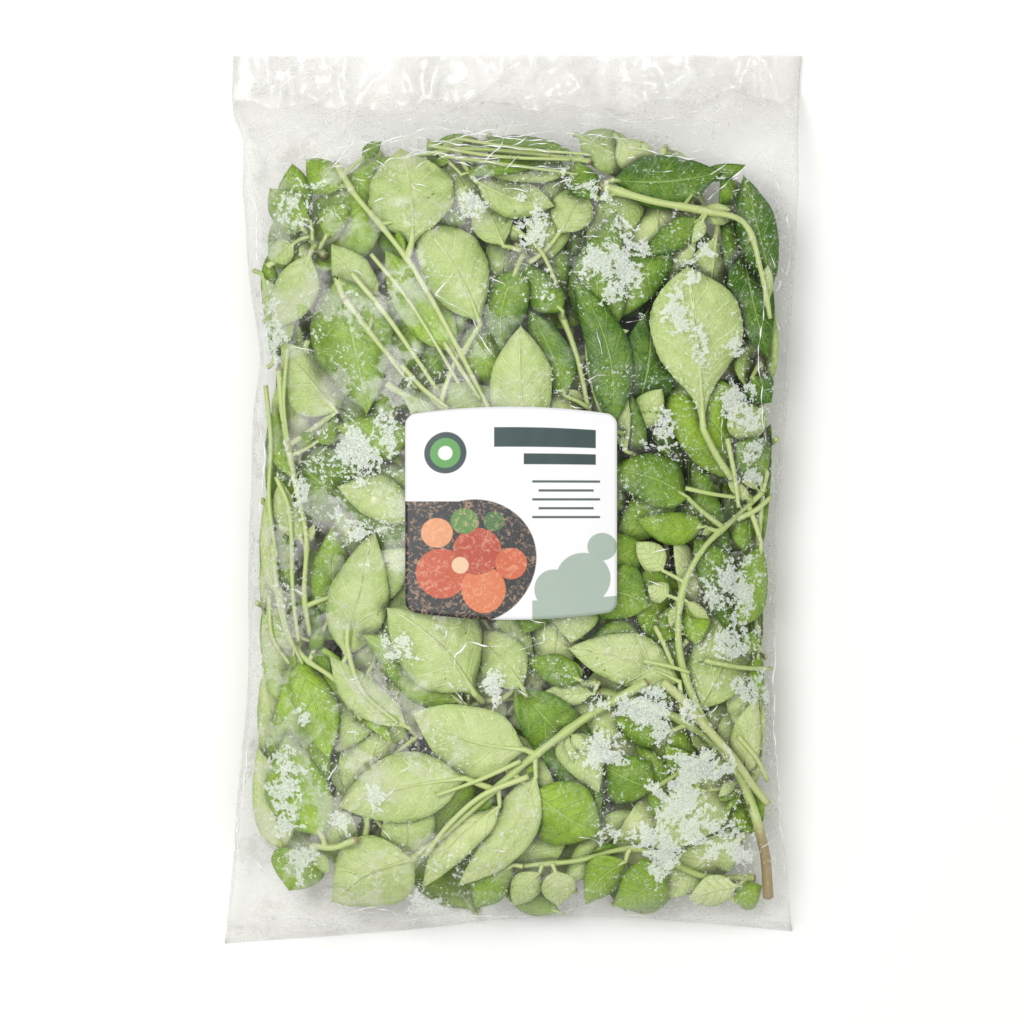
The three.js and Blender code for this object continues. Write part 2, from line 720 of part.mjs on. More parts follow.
function makeBag() {
  const stations = sharesToEnds(stationsAlong, 0.75).map((share) => (share + 1) / 2);
  const outside = stations.map(filmLoop);
  const seal = sealDepth / (stations[1] * (mouthY - footY));
  const sealed = outside[0].map((p, i) => p.map((v, k) => mix(v, outside[1][i][k], seal)));
  const inside = [sealed, ...outside.slice(1)].map(drawnIn);
  const pastMouth = inside.at(-1).map(([x, y, z]) => [x, y + pastMouthLength, z]);
  return { outside: skinOver(outside), inside: skinOver([...inside, pastMouth]) };
}

// A rounded sheet with bowed upper and lower edges, bent to the film that it is stuck on.
function makeLabel() {
  const { x, y, width, side, bow, corner, thickness, lift, steps, reach } = label;
  const half = width / 2;
  const high = side / 2;
  const outline = new THREE.Shape();
  outline.moveTo(x - half, y - high + corner);
  outline.quadraticCurveTo(x - half, y - high, x - half + corner, y - high - bow * 0.2);
  outline.quadraticCurveTo(x, y - high - bow * 2, x + half - corner, y - high - bow * 0.2);
  outline.quadraticCurveTo(x + half, y - high, x + half, y - high + corner);
  outline.lineTo(x + half, y + high - corner);
  outline.quadraticCurveTo(x + half, y + high, x + half - corner, y + high + bow * 0.2);
  outline.quadraticCurveTo(x, y + high + bow * 2, x - half + corner, y + high + bow * 0.2);
  outline.quadraticCurveTo(x - half, y + high, x - half, y + high - corner);
  const cutter = new THREE.ExtrudeGeometry(outline, {
    depth: filledHeight * 2, bevelEnabled: false, curveSegments: 5,
  });
  const rows = Array.from({ length: steps + 1 }, (_, j) => {
    const rowY = y + mix(-reach, reach, j / steps);
    const left = smoothThrough(leftSide, rowY);
    const right = smoothThrough(rightSide, rowY);
    const line = Array.from({ length: steps + 1 }, (_, i) => {
      const rowX = x + mix(-reach, reach, i / steps);
      const across = (2 * (rowX - left)) / (right - left) - 1;
      return [rowX, rowY, filmTop(across, rowY) + lift];
    });
    return [...line.map(([a, b, c]) => [a, b, c + thickness]), ...line.toReversed()];
  });
  return solidFrom(skinOver(rows)).intersect(solidFromGeometry(cutter));
}

const group = new THREE.Group();
const bag = makeBag();
const film = solidFrom(bag.outside).subtract(solidFrom(bag.inside));
laid.push(film);
group.add(meshFrom("bag_film", film, filmMaterial));
group.add(meshFrom("label", makeLabel(), labelMaterial));

// The inside of the film sets the first room: nothing above the plan outside the bag, so no leaf can go
// there.
pile.above = new Float64Array(pile.columns * pile.rows).fill(Infinity);
pile.below = new Float64Array(pile.columns * pile.rows).fill(-Infinity);
facets(bag.inside).forEach((triangle) => {
  const [a, b, c] = triangle;
  const up = (b[0] - a[0]) * (c[1] - a[1]) - (c[0] - a[0]) * (b[1] - a[1]);
  fillPile([triangle], up > 0 ? "above" : "below");
});

// Adds the stems that have room. Those laid by rule are numbered as they are placed.
function addStems(stems, side, numberedName) {
  let placed = 0;
  stems.forEach((stem) => {
    const solid = layStem(stem, side);
    if (!solid) return;
    placed += 1;
    group.add(meshFrom(stem.name ?? `${numberedName}_${placed}`, solid, leafMaterial));
  });
}

addStems(faceStems, "above");
addStems(packedStems(backStems), "below", "back_shoot");
addStems(packedStems(innerStems), "above", "inner_shoot");

export default group;
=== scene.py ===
import math

import bpy
import numpy as np
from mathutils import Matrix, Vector


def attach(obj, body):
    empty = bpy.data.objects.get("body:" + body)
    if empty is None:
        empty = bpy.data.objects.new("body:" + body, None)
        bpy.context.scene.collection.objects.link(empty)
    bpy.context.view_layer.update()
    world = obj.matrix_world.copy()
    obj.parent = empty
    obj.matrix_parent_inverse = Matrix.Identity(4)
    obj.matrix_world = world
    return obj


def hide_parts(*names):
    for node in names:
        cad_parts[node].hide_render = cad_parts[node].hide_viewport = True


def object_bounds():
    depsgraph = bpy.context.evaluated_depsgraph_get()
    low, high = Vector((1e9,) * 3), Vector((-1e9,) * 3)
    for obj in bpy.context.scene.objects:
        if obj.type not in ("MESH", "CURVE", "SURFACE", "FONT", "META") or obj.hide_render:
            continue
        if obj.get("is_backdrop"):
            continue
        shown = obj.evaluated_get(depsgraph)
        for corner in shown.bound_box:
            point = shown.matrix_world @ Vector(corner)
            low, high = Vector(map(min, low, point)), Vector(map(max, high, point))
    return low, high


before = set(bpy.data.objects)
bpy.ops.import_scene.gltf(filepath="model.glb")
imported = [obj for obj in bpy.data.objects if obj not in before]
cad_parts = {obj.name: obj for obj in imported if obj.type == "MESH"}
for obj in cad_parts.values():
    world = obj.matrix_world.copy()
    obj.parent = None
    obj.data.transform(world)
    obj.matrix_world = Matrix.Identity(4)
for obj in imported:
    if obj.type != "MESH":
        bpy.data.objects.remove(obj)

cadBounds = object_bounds()
mm = 0.001  # everything below is laid out in millimetres and built in metres

# the bag's form
bagShape = {
    "mouthY": 236, "footY": -236,
    "height": 74, "sideHeight": 26, "foldHalf": 1.5,
    "fillCentreY": -11, "fillHalfLength": 211,
    "gatherFrom": 0.9, "gather": 0.075,
    "leftSide": [(-236, -154), (-200, -149), (-159, -146), (-106, -141), (-64, -140), (0, -139), (45, -137),
                 (72, -134), (105, -138), (160, -143), (190, -144), (206, -149), (236, -149)],
    "rightSide": [(-236, 149), (-201, 145), (-160, 141), (-106, 138), (-60, 139), (0, 141), (45, 145),
                  (106, 148), (160, 151), (205, 152), (236, 154)],
    "foot": [(-154, -236), (-60, -229), (0, -223), (50, -222), (100, -225), (154, -230)],
}


def smoothThrough(points, at):
    xs = np.array([p[0] for p in points], float)
    ys = np.array([p[1] for p in points], float)
    at = np.clip(np.asarray(at, float), xs[0], xs[-1])
    i = np.clip(np.searchsorted(xs, at, side="right") - 1, 0, len(xs) - 2)
    before, after = np.maximum(np.arange(len(xs)) - 1, 0), np.minimum(np.arange(len(xs)) + 1, len(xs) - 1)
    slopes = (ys[after] - ys[before]) / (xs[after] - xs[before])
    step = xs[i + 1] - xs[i]
    t = (at - xs[i]) / step
    return ((2 * t**3 - 3 * t**2 + 1) * ys[i] + (t**3 - 2 * t**2 + t) * step * slopes[i]
            + (3 * t**2 - 2 * t**3) * ys[i + 1] + (t**3 - t**2) * step * slopes[i + 1])


def fullness(y):
    t = np.clip(np.abs(y - bagShape["fillCentreY"]) / bagShape["fillHalfLength"], 0, 1)
    return np.sqrt(1 - t**4.5)


def filmTop(across, y):
    full = fullness(y)
    edge = bagShape["foldHalf"] + bagShape["sideHeight"] * full**1.2
    dome = (1 - np.minimum(np.abs(across), 1) ** 2.6) ** 0.55
    return edge + bagShape["foldHalf"] + (bagShape["height"] - edge - bagShape["foldHalf"]) * dome * full


def filmBack(across, y):
    edge = bagShape["sideHeight"] * fullness(y) ** 1.2
    past = np.clip((np.abs(across) - 0.72) / 0.28, 0, 1)
    return edge * (1 - np.sqrt(1 - past * past))


def acrossAt(x, y):
    left, right = smoothThrough(bagShape["leftSide"], y), smoothThrough(bagShape["rightSide"], y)
    return 2 * (x - left) / (right - left) - 1


def keptInside(x, y):
    # leaves that reach the sides of the bag are gathered there
    left, right = smoothThrough(bagShape["leftSide"], y), smoothThrough(bagShape["rightSide"], y)
    across = 2 * (x - left) / (right - left) - 1
    past = np.maximum(np.abs(across) - bagShape["gatherFrom"], 0)
    kept = np.minimum(np.abs(across), bagShape["gatherFrom"]) + bagShape["gather"] * (1 - np.exp(-past / bagShape["gather"]))
    return (left + right) / 2 + np.sign(across) * kept * (right - left) / 2


def noiseField(x, y, size, seed):
    # smooth random bumps about `size` across, from -1 to 1
    rng = np.random.default_rng(seed)
    turn = rng.uniform(0, 2 * math.pi, (128, 128))
    gx, gy = np.cos(turn), np.sin(turn)
    u, v = np.asarray(x, float) / size + 31.7, np.asarray(y, float) / size + 17.3
    i, j = np.floor(u).astype(int), np.floor(v).astype(int)
    fu, fv = u - i, v - j
    su, sv = fu**3 * (fu * (fu * 6 - 15) + 10), fv**3 * (fv * (fv * 6 - 15) + 10)

    def corner(di, dj):
        a, b = (i + di) % 128, (j + dj) % 128
        return gx[a, b] * (fu - di) + gy[a, b] * (fv - dj)
    low = corner(0, 0) * (1 - su) + corner(1, 0) * su
    high = corner(0, 1) * (1 - su) + corner(1, 1) * su
    return (low * (1 - sv) + high * sv) * 1.5


# the room left in the bag
pile = {"cell": 1.0, "left": -158.0, "front": -240.0, "columns": 316, "rows": 480, "filmMargin": 2.2}


def startPile():
    cols = pile["left"] + (np.arange(pile["columns"]) + 0.5) * pile["cell"]
    rows = pile["front"] + (np.arange(pile["rows"]) + 0.5) * pile["cell"]
    x, y = np.meshgrid(cols, rows)
    across = acrossAt(x, y)
    pile["x"], pile["y"], pile["across"] = x, y, across
    pile["roof"] = filmTop(across, y) - pile["filmMargin"] * np.clip(fullness(y) + 0.3, 0, 1)
    pile["ground"] = filmBack(across, y) + 0.8
    pile["film"] = pile["roof"].copy()
    pile["back"] = pile["ground"].copy()
    pile["inside"] = (np.abs(across) < 0.985) & (fullness(y) > 0.2)
    pile["crest"] = pile["ground"].copy()
    pile["trough"] = pile["roof"].copy()


def cellsOf(x, y):
    i = np.clip(((x - pile["left"]) / pile["cell"]).astype(int), 0, pile["columns"] - 1)
    j = np.clip(((y - pile["front"]) / pile["cell"]).astype(int), 0, pile["rows"] - 1)
    return j, i


def readPile(name, x, y):
    u = np.clip((x - pile["left"]) / pile["cell"] - 0.5, 0, pile["columns"] - 1.001)
    v = np.clip((y - pile["front"]) / pile["cell"] - 0.5, 0, pile["rows"] - 1.001)
    i, j = u.astype(int), v.astype(int)
    fu, fv = u - i, v - j
    grid = pile[name]
    return ((grid[j, i] * (1 - fu) + grid[j, i + 1] * fu) * (1 - fv)
            + (grid[j + 1, i] * (1 - fu) + grid[j + 1, i + 1] * fu) * fv)


def finer(grid, times):
    # the same sheet of values with `times` steps between neighbours, both ways
    rows, cols = grid.shape
    r, c = np.linspace(0, rows - 1, (rows - 1) * times[0] + 1), np.linspace(0, cols - 1, (cols - 1) * times[1] + 1)
    r0, c0 = np.minimum(r.astype(int), rows - 2), np.minimum(c.astype(int), cols - 2)
    fr, fc = (r - r0)[:, None], (c - c0)[None, :]
    a, b = grid[r0][:, c0], grid[r0][:, c0 + 1]
    d, e = grid[r0 + 1][:, c0], grid[r0 + 1][:, c0 + 1]
    return (a * (1 - fc) + b * fc) * (1 - fr) + (d * (1 - fc) + e * fc) * fr


def stampPile(x, y, z, side, rest=None):
    stepR = max(np.hypot(np.diff(x, axis=0), np.diff(y, axis=0)).max(), 0.1)
    stepC = max(np.hypot(np.diff(x, axis=1), np.diff(y, axis=1)).max(), 0.1)
    times = (int(math.ceil(stepR / 0.6)), int(math.ceil(stepC / 0.6)))
    fx, fy, fz = finer(x, times), finer(y, times), finer(z, times)
    seen = fz if rest is None else finer(rest, times)
    for dx, dy in ((0, 0), (0.6, 0), (-0.6, 0), (0, 0.6), (0, -0.6)):
        cells = cellsOf(fx + dx, fy + dy)
        if side == "above":
            np.minimum.at(pile["roof"], cells, fz)
            np.maximum.at(pile["crest"], cells, seen)
        else:
            np.maximum.at(pile["ground"], cells, fz)
            np.minimum.at(pile["trough"], cells, seen)


def blurred(z):
    p = np.pad(z, 1, mode="edge")
    z = (p[:-2] + 2 * p[1:-1] + p[2:]) / 4
    return (z[:, :-2] + 2 * z[:, 1:-1] + z[:, 2:]) / 4


def drape(limit, side, stiffness):
    # rests a sheet against its limit from below (or, on the bag's back, from above), as stiff as asked
    hug = np.minimum if side == "above" else np.maximum
    z = limit.copy()
    for _ in range(stiffness):
        z = hug(blurred(z), limit)
    return z


# painted shade between the leaves: how dark a place is painted, from how far it lies behind its surroundings
depthShade = {"near": 14, "wide": 70, "nearClear": 1.0, "nearDepth": 3.0, "wideClear": 2.2,
              "wideDepth": 7.0, "least": 0.52}


def measureDepths():
    for name, source, side in (("crest", "crest", "above"), ("trough", "trough", "below")):
        sheet = pile[source]
        for size in ("near", "wide"):
            smooth = sheet.copy()
            for _ in range(depthShade[size]):
                smooth = blurred(smooth)
            pile[name + size] = smooth


def shadeAt(x, y, z):
    fromTop = z > (readPile("film", x, y) + readPile("back", x, y)) / 2
    behind = lambda size: np.where(fromTop, readPile("crest" + size, x, y) - z, z - readPile("trough" + size, x, y))
    near = np.clip((behind("near") - depthShade["nearClear"]) / depthShade["nearDepth"], 0, 1)
    wide = np.clip((behind("wide") - depthShade["wideClear"]) / depthShade["wideDepth"], 0, 1)
    upperRight = np.clip((x + 60) / 120, 0, 1) * np.clip((y + 90) / 120, 0, 1)  # the painted shade is made strongest towards the upper right
    return (1 - (1 - 0.82 * near) * (1 - 0.9 * wide)) * (depthShade["least"] + (1 - depthShade["least"]) * upperRight)


# leaves and stems as meshes
leafForm = {
    "outline": [(0, 0.05), (0.04, 0.2), (0.12, 0.58), (0.25, 0.9), (0.4, 1), (0.55, 0.95), (0.7, 0.76),
                (0.84, 0.47), (0.93, 0.24), (0.98, 0.09), (1, 0.02)],
    "thickness": 0.4,
    "teeth": 17, "toothDepth": 0.03, "uneven": 0.09,
    "veins": 6, "veinSlope": 0.24,
    "quilt": 1.25, "blister": 0.85, "midribDip": 0.035, "crease": 0.085, "marginWave": 0.05, "foldChance": 0.35,
    "stiffness": 22, "gap": 0.3,
    "rowsPerMm": 0.58, "columnsPerMm": 0.42,
}


class Piece:
    # gathers the faces of one piece: positions, UVs, tone, side and slot
    def __init__(self):
        self.verts, self.faces, self.slots, self.uvs, self.tones, self.sides = [], [], [], [], [], []
        self.rests = []
        self.count = 0

    def add(self, verts, faces, slot, uvs, tone, sides, rests=None):
        self.verts.append(verts)
        self.faces.append(faces + self.count)
        self.slots.append(np.full(len(faces), slot))
        self.uvs.append(uvs)
        self.tones.append(np.full(len(verts), tone) if np.isscalar(tone) else tone)
        self.sides.append(sides)
        self.rests.append(verts[:, 2] if rests is None else rests)
        self.count += len(verts)


def gridFaces(rows, cols, wrap=False):
    r = np.arange(rows - 1)[:, None]
    c = np.arange(cols if wrap else cols - 1)[None, :]
    a = r * cols + c
    b = r * cols + (c + 1) % cols
    return np.stack([a, b, b + cols, a + cols], axis=-1).reshape(-1, 4)


def addTube(piece, path, radii, slot, tone, sides=8, flat=1.0, stamp=None):
    path, radii = np.asarray(path, float), np.asarray(radii, float)
    way = np.gradient(path, axis=0)
    way /= np.linalg.norm(way, axis=1, keepdims=True) + 1e-9
    side = np.stack([-way[:, 1], way[:, 0], np.zeros(len(way))], axis=1)
    side /= np.linalg.norm(side, axis=1, keepdims=True) + 1e-9
    up = np.cross(way, side) * flat
    turns = np.arange(sides) / sides * 2 * math.pi + math.pi / 4
    square = 1 + 0.09 * np.cos(4 * (turns - math.pi / 4 - math.pi / 4))  # basil's stems are four-cornered
    ring = radii[:, None] * square[None, :]
    verts = (path[:, None, :] + ring[..., None] * (np.cos(turns)[None, :, None] * side[:, None, :]
                                                   + np.sin(turns)[None, :, None] * up[:, None, :]))
    rows = len(path)
    lengths = np.concatenate([[0], np.cumsum(np.linalg.norm(np.diff(path, axis=0), axis=1))])
    uvs = np.stack([np.tile(turns / (2 * math.pi), (rows, 1)), np.tile(lengths[:, None] / 20, (1, sides))], axis=-1)
    flatVerts = verts.reshape(-1, 3)
    caps = np.array([flatVerts[:sides].mean(axis=0), flatVerts[-sides:].mean(axis=0)])
    allVerts = np.vstack([flatVerts, caps])
    faces = gridFaces(rows, sides, wrap=True)
    n, first, last = rows * sides, rows * sides, rows * sides + 1
    k = np.arange(sides)
    startCap = np.stack([(k + 1) % sides, k, np.full(sides, first), np.full(sides, first)], axis=1)
    endCap = np.stack([n - sides + k, n - sides + (k + 1) % sides, np.full(sides, last), np.full(sides, last)], axis=1)
    uvsAll = np.vstack([uvs.reshape(-1, 2), [[0.5, 0], [0.5, lengths[-1] / 20]]])
    piece.add(allVerts, np.vstack([faces, startCap, endCap]), slot, uvsAll, tone, np.zeros(len(allVerts)))
    if stamp:
        band = np.linspace(-1, 1, 5)[None, :]
        x = path[:, :1] + side[:, :1] * band * radii[:, None]
        y = path[:, 1:2] + side[:, 1:2] * band * radii[:, None]
        sign = -1 if stamp == "above" else 1
        z = path[:, 2:3] + sign * radii[:, None] * np.sqrt(np.clip(1.1 - band**2, 0.1, 1))
        stampPile(x, y, z, stamp)


def addLeaf(piece, rng, base, tip, width, facing, side, tone, joint=None, detail=1.0, widest=1.0):
    base, tip = np.array(base, float), np.array(tip, float)
    length = float(np.linalg.norm(tip - base))
    way = (tip - base) / max(length, 1e-6)
    cross = np.array([-way[1], way[0]])
    rows = int(np.clip(length * leafForm["rowsPerMm"] * detail, 12, 48))
    cols = int(np.clip(width * leafForm["columnsPerMm"] * detail, 5, 19)) | 1
    v = (np.linspace(0, 1, rows) ** 0.94)[:, None] * np.ones((1, cols))
    u = np.linspace(-1, 1, cols)[None, :] * np.ones((rows, 1))
    outline = smoothThrough(leafForm["outline"], v ** (widest * rng.uniform(0.88, 1.2)))
    teeth = 1 + leafForm["toothDepth"] * ((v * leafForm["teeth"]) % 1 - 0.5) * (np.abs(u) > 0.99)
    seed = int(rng.integers(1 << 30))
    outline = outline * (1 + leafForm["uneven"] * noiseField(v * 3 + 5 * np.sign(u), 0 * v, 1.0, seed))
    bow = rng.uniform(-0.12, 0.12)
    lean = rng.uniform(-0.05, 0.05)
    shiftAcross = bow * length * np.sin(math.pi * v) + u * outline * teeth * width / 2
    shiftAlong = v * length + lean * width * u * np.sin(math.pi * v) - 0.02 * length * np.abs(u) * v
    x = base[0] + way[0] * shiftAlong + cross[0] * shiftAcross
    y = base[1] + way[1] * shiftAlong + cross[1] * shiftAcross
    x = keptInside(x, y)

    sign = -1 if side == "above" else 1
    limit = readPile("roof" if side == "above" else "ground", x, y) + sign * leafForm["gap"]
    z = drape(limit, side, int(leafForm["stiffness"]))

    # relief, always away from what the leaf rests against
    rest = z
    size = min(width / 40, 1)
    phase = (v - leafForm["veinSlope"] * np.abs(u)) * leafForm["veins"] * 2 * math.pi
    body = np.sin(math.pi * np.clip(np.abs(u), 0, 1)) ** 0.7 * np.sin(math.pi * np.clip(v, 0, 1)) ** 0.5
    quilt = (0.5 + 0.5 * np.cos(phase)) * body * leafForm["quilt"] * size
    if facing == "under":
        quilt = leafForm["quilt"] * size * body - quilt
    relief = quilt + leafForm["blister"] * size * (0.5 + 0.5 * noiseField(x, y, 5.5, seed))
    if facing == "over":
        relief = relief + leafForm["midribDip"] * width * np.exp(-(u / 0.3) ** 2) * np.sin(math.pi * np.clip(v, 0, 1))
    # soft folds that the packing pressed in, and for some leaves one side turned down
    pressed = np.clip(1 - np.abs(noiseField(x, y, 21, seed + 1)) * 3, 0, 1) ** 2
    relief = relief + leafForm["crease"] * min(width, 24) * rng.uniform(0.2, 1) * pressed
    if rng.uniform() < leafForm["foldChance"]:
        hand, start = rng.choice([-1, 1]), rng.uniform(0.1, 0.6)
        relief = relief + width * rng.uniform(0.12, 0.3) * np.clip(hand * u - start, 0, 1) ** 1.3
    curl = rng.uniform(0.01, 0.09)
    tilt = rng.uniform(-0.08, 0.08)
    relief = relief + curl * width * np.abs(u) ** 2.4 * np.sin(math.pi * np.clip(v * 0.9 + 0.08, 0, 1))
    relief = relief + np.abs(tilt) * width * (1 + np.sign(tilt) * u) / 2
    wave, waves = rng.uniform(0, 2 * math.pi), rng.uniform(2, 4.5)
    ripple = 1 + np.sin(v * waves * 2 * math.pi + wave + 2 * np.sign(u))
    relief = relief + leafForm["marginWave"] * width * rng.uniform(0.2, 1) * ripple * np.abs(u) ** 3
    relief = relief + rng.uniform(0, 0.07) * length * v**3
    z = z + sign * relief
    other = readPile("ground" if side == "above" else "roof", x, y) - sign * 0.5
    z = np.maximum(z, other) if side == "above" else np.minimum(z, other)
    stampPile(x, y, z + sign * leafForm["thickness"], side, rest)

    top = np.stack([x, y, z if side == "above" else z + leafForm["thickness"]], axis=-1).reshape(-1, 3)
    bottom = np.stack([x, y, z - leafForm["thickness"] if side == "above" else z], axis=-1).reshape(-1, 3)
    faces = gridFaces(rows, cols)
    n = rows * cols
    rim = np.concatenate([np.arange(cols), np.arange(1, rows) * cols + cols - 1,
                          (n - cols + np.arange(cols - 1))[::-1], (np.arange(1, rows - 1) * cols)[::-1]])
    after = np.roll(rim, -1)
    rimFaces = np.stack([rim, rim + n, after + n, after], axis=1)
    facesUp = faces if np.cross([*way, 0], [*cross, 0])[2] < 0 else faces[:, ::-1]
    skirt = rimFaces if facesUp is faces else rimFaces[:, ::-1]
    uv = np.stack([(u + 1) / 2, v], axis=-1).reshape(-1, 2)
    upIsPale = 1.0 if facing == "under" else 0.0
    sides = np.concatenate([np.full(n, upIsPale), np.full(n, 1 - upIsPale)])
    piece.add(np.vstack([top, bottom]), np.vstack([facesUp, facesUp[:, ::-1] + n, skirt]), 0,
              np.vstack([uv, uv]), tone, sides, np.tile(rest.ravel(), 2))

    # petiole, and its continuation as the raised midrib of the pale side
    middle = cols // 2
    ribEnd = int(rows * 0.86)
    ribRows = np.arange(0, ribEnd, max(rows // 14, 1))
    if facing == "over":
        ribRows = ribRows[ribRows < rows * 0.12]
    ribX, ribY, ribZ = x[ribRows, middle], y[ribRows, middle], z[ribRows, middle]
    thick = np.clip(0.6 + width * 0.024, 0.6, 1.9)
    rib = np.stack([ribX, ribY, ribZ - leafForm["thickness"] / 2], axis=1)
    taper = thick * (1 - 0.9 * (ribRows / max(ribEnd, 1)) ** 0.7)
    if joint is not None:
        start = np.array(joint, float)
        shares = np.linspace(0, 1, 9)[:-1][:, None]
        bend = start + (rib[0] - start) * shares
        sway = np.linalg.norm(rib[0][:2] - start[:2]) * 0.08 * rng.uniform(-1, 1)
        bend[:, :2] += cross[None, :] * np.sin(shares * math.pi) * sway
        if side == "above":
            roof = readPile("film", bend[:, 0], bend[:, 1]) - thick
            bend[1:, 2] = np.minimum(bend[1:, 2], roof[1:])
        rib = np.vstack([bend, rib])
        taper = np.concatenate([np.linspace(thick * 1.25, thick, 8), taper])
    if len(rib) > 3:
        addTube(piece, rib, np.maximum(taper, 0.12), 1, tone, sides=6, flat=0.8,
                stamp=side if joint is not None else None)


def restLine(points, radius, side, count):
    # a stem's centre line through plan points, resting against the pile
    pts = np.array(points, float)
    spans = np.concatenate([[0], np.cumsum(np.hypot(*np.diff(pts[:, :2], axis=0).T))])
    t = np.linspace(0, spans[-1], count)
    x = smoothThrough(list(zip(spans, pts[:, 0])), t)
    y = smoothThrough(list(zip(spans, pts[:, 1])), t)
    dx, dy = np.gradient(x), np.gradient(y)
    size = np.hypot(dx, dy) + 1e-9
    band = np.linspace(-1, 1, 5)[None, :] * radius[:, None]
    bx = x[:, None] - (dy / size)[:, None] * band
    by = y[:, None] + (dx / size)[:, None] * band
    sign = -1 if side == "above" else 1
    limit = readPile("roof" if side == "above" else "ground", bx, by)
    edge = limit.min(axis=1) if side == "above" else limit.max(axis=1)
    z = drape(edge[:, None] + sign * (radius[:, None] + 0.3), side, 60)[:, 0]
    return np.stack([x, y, z], axis=1)


print("bag form and pile ready")

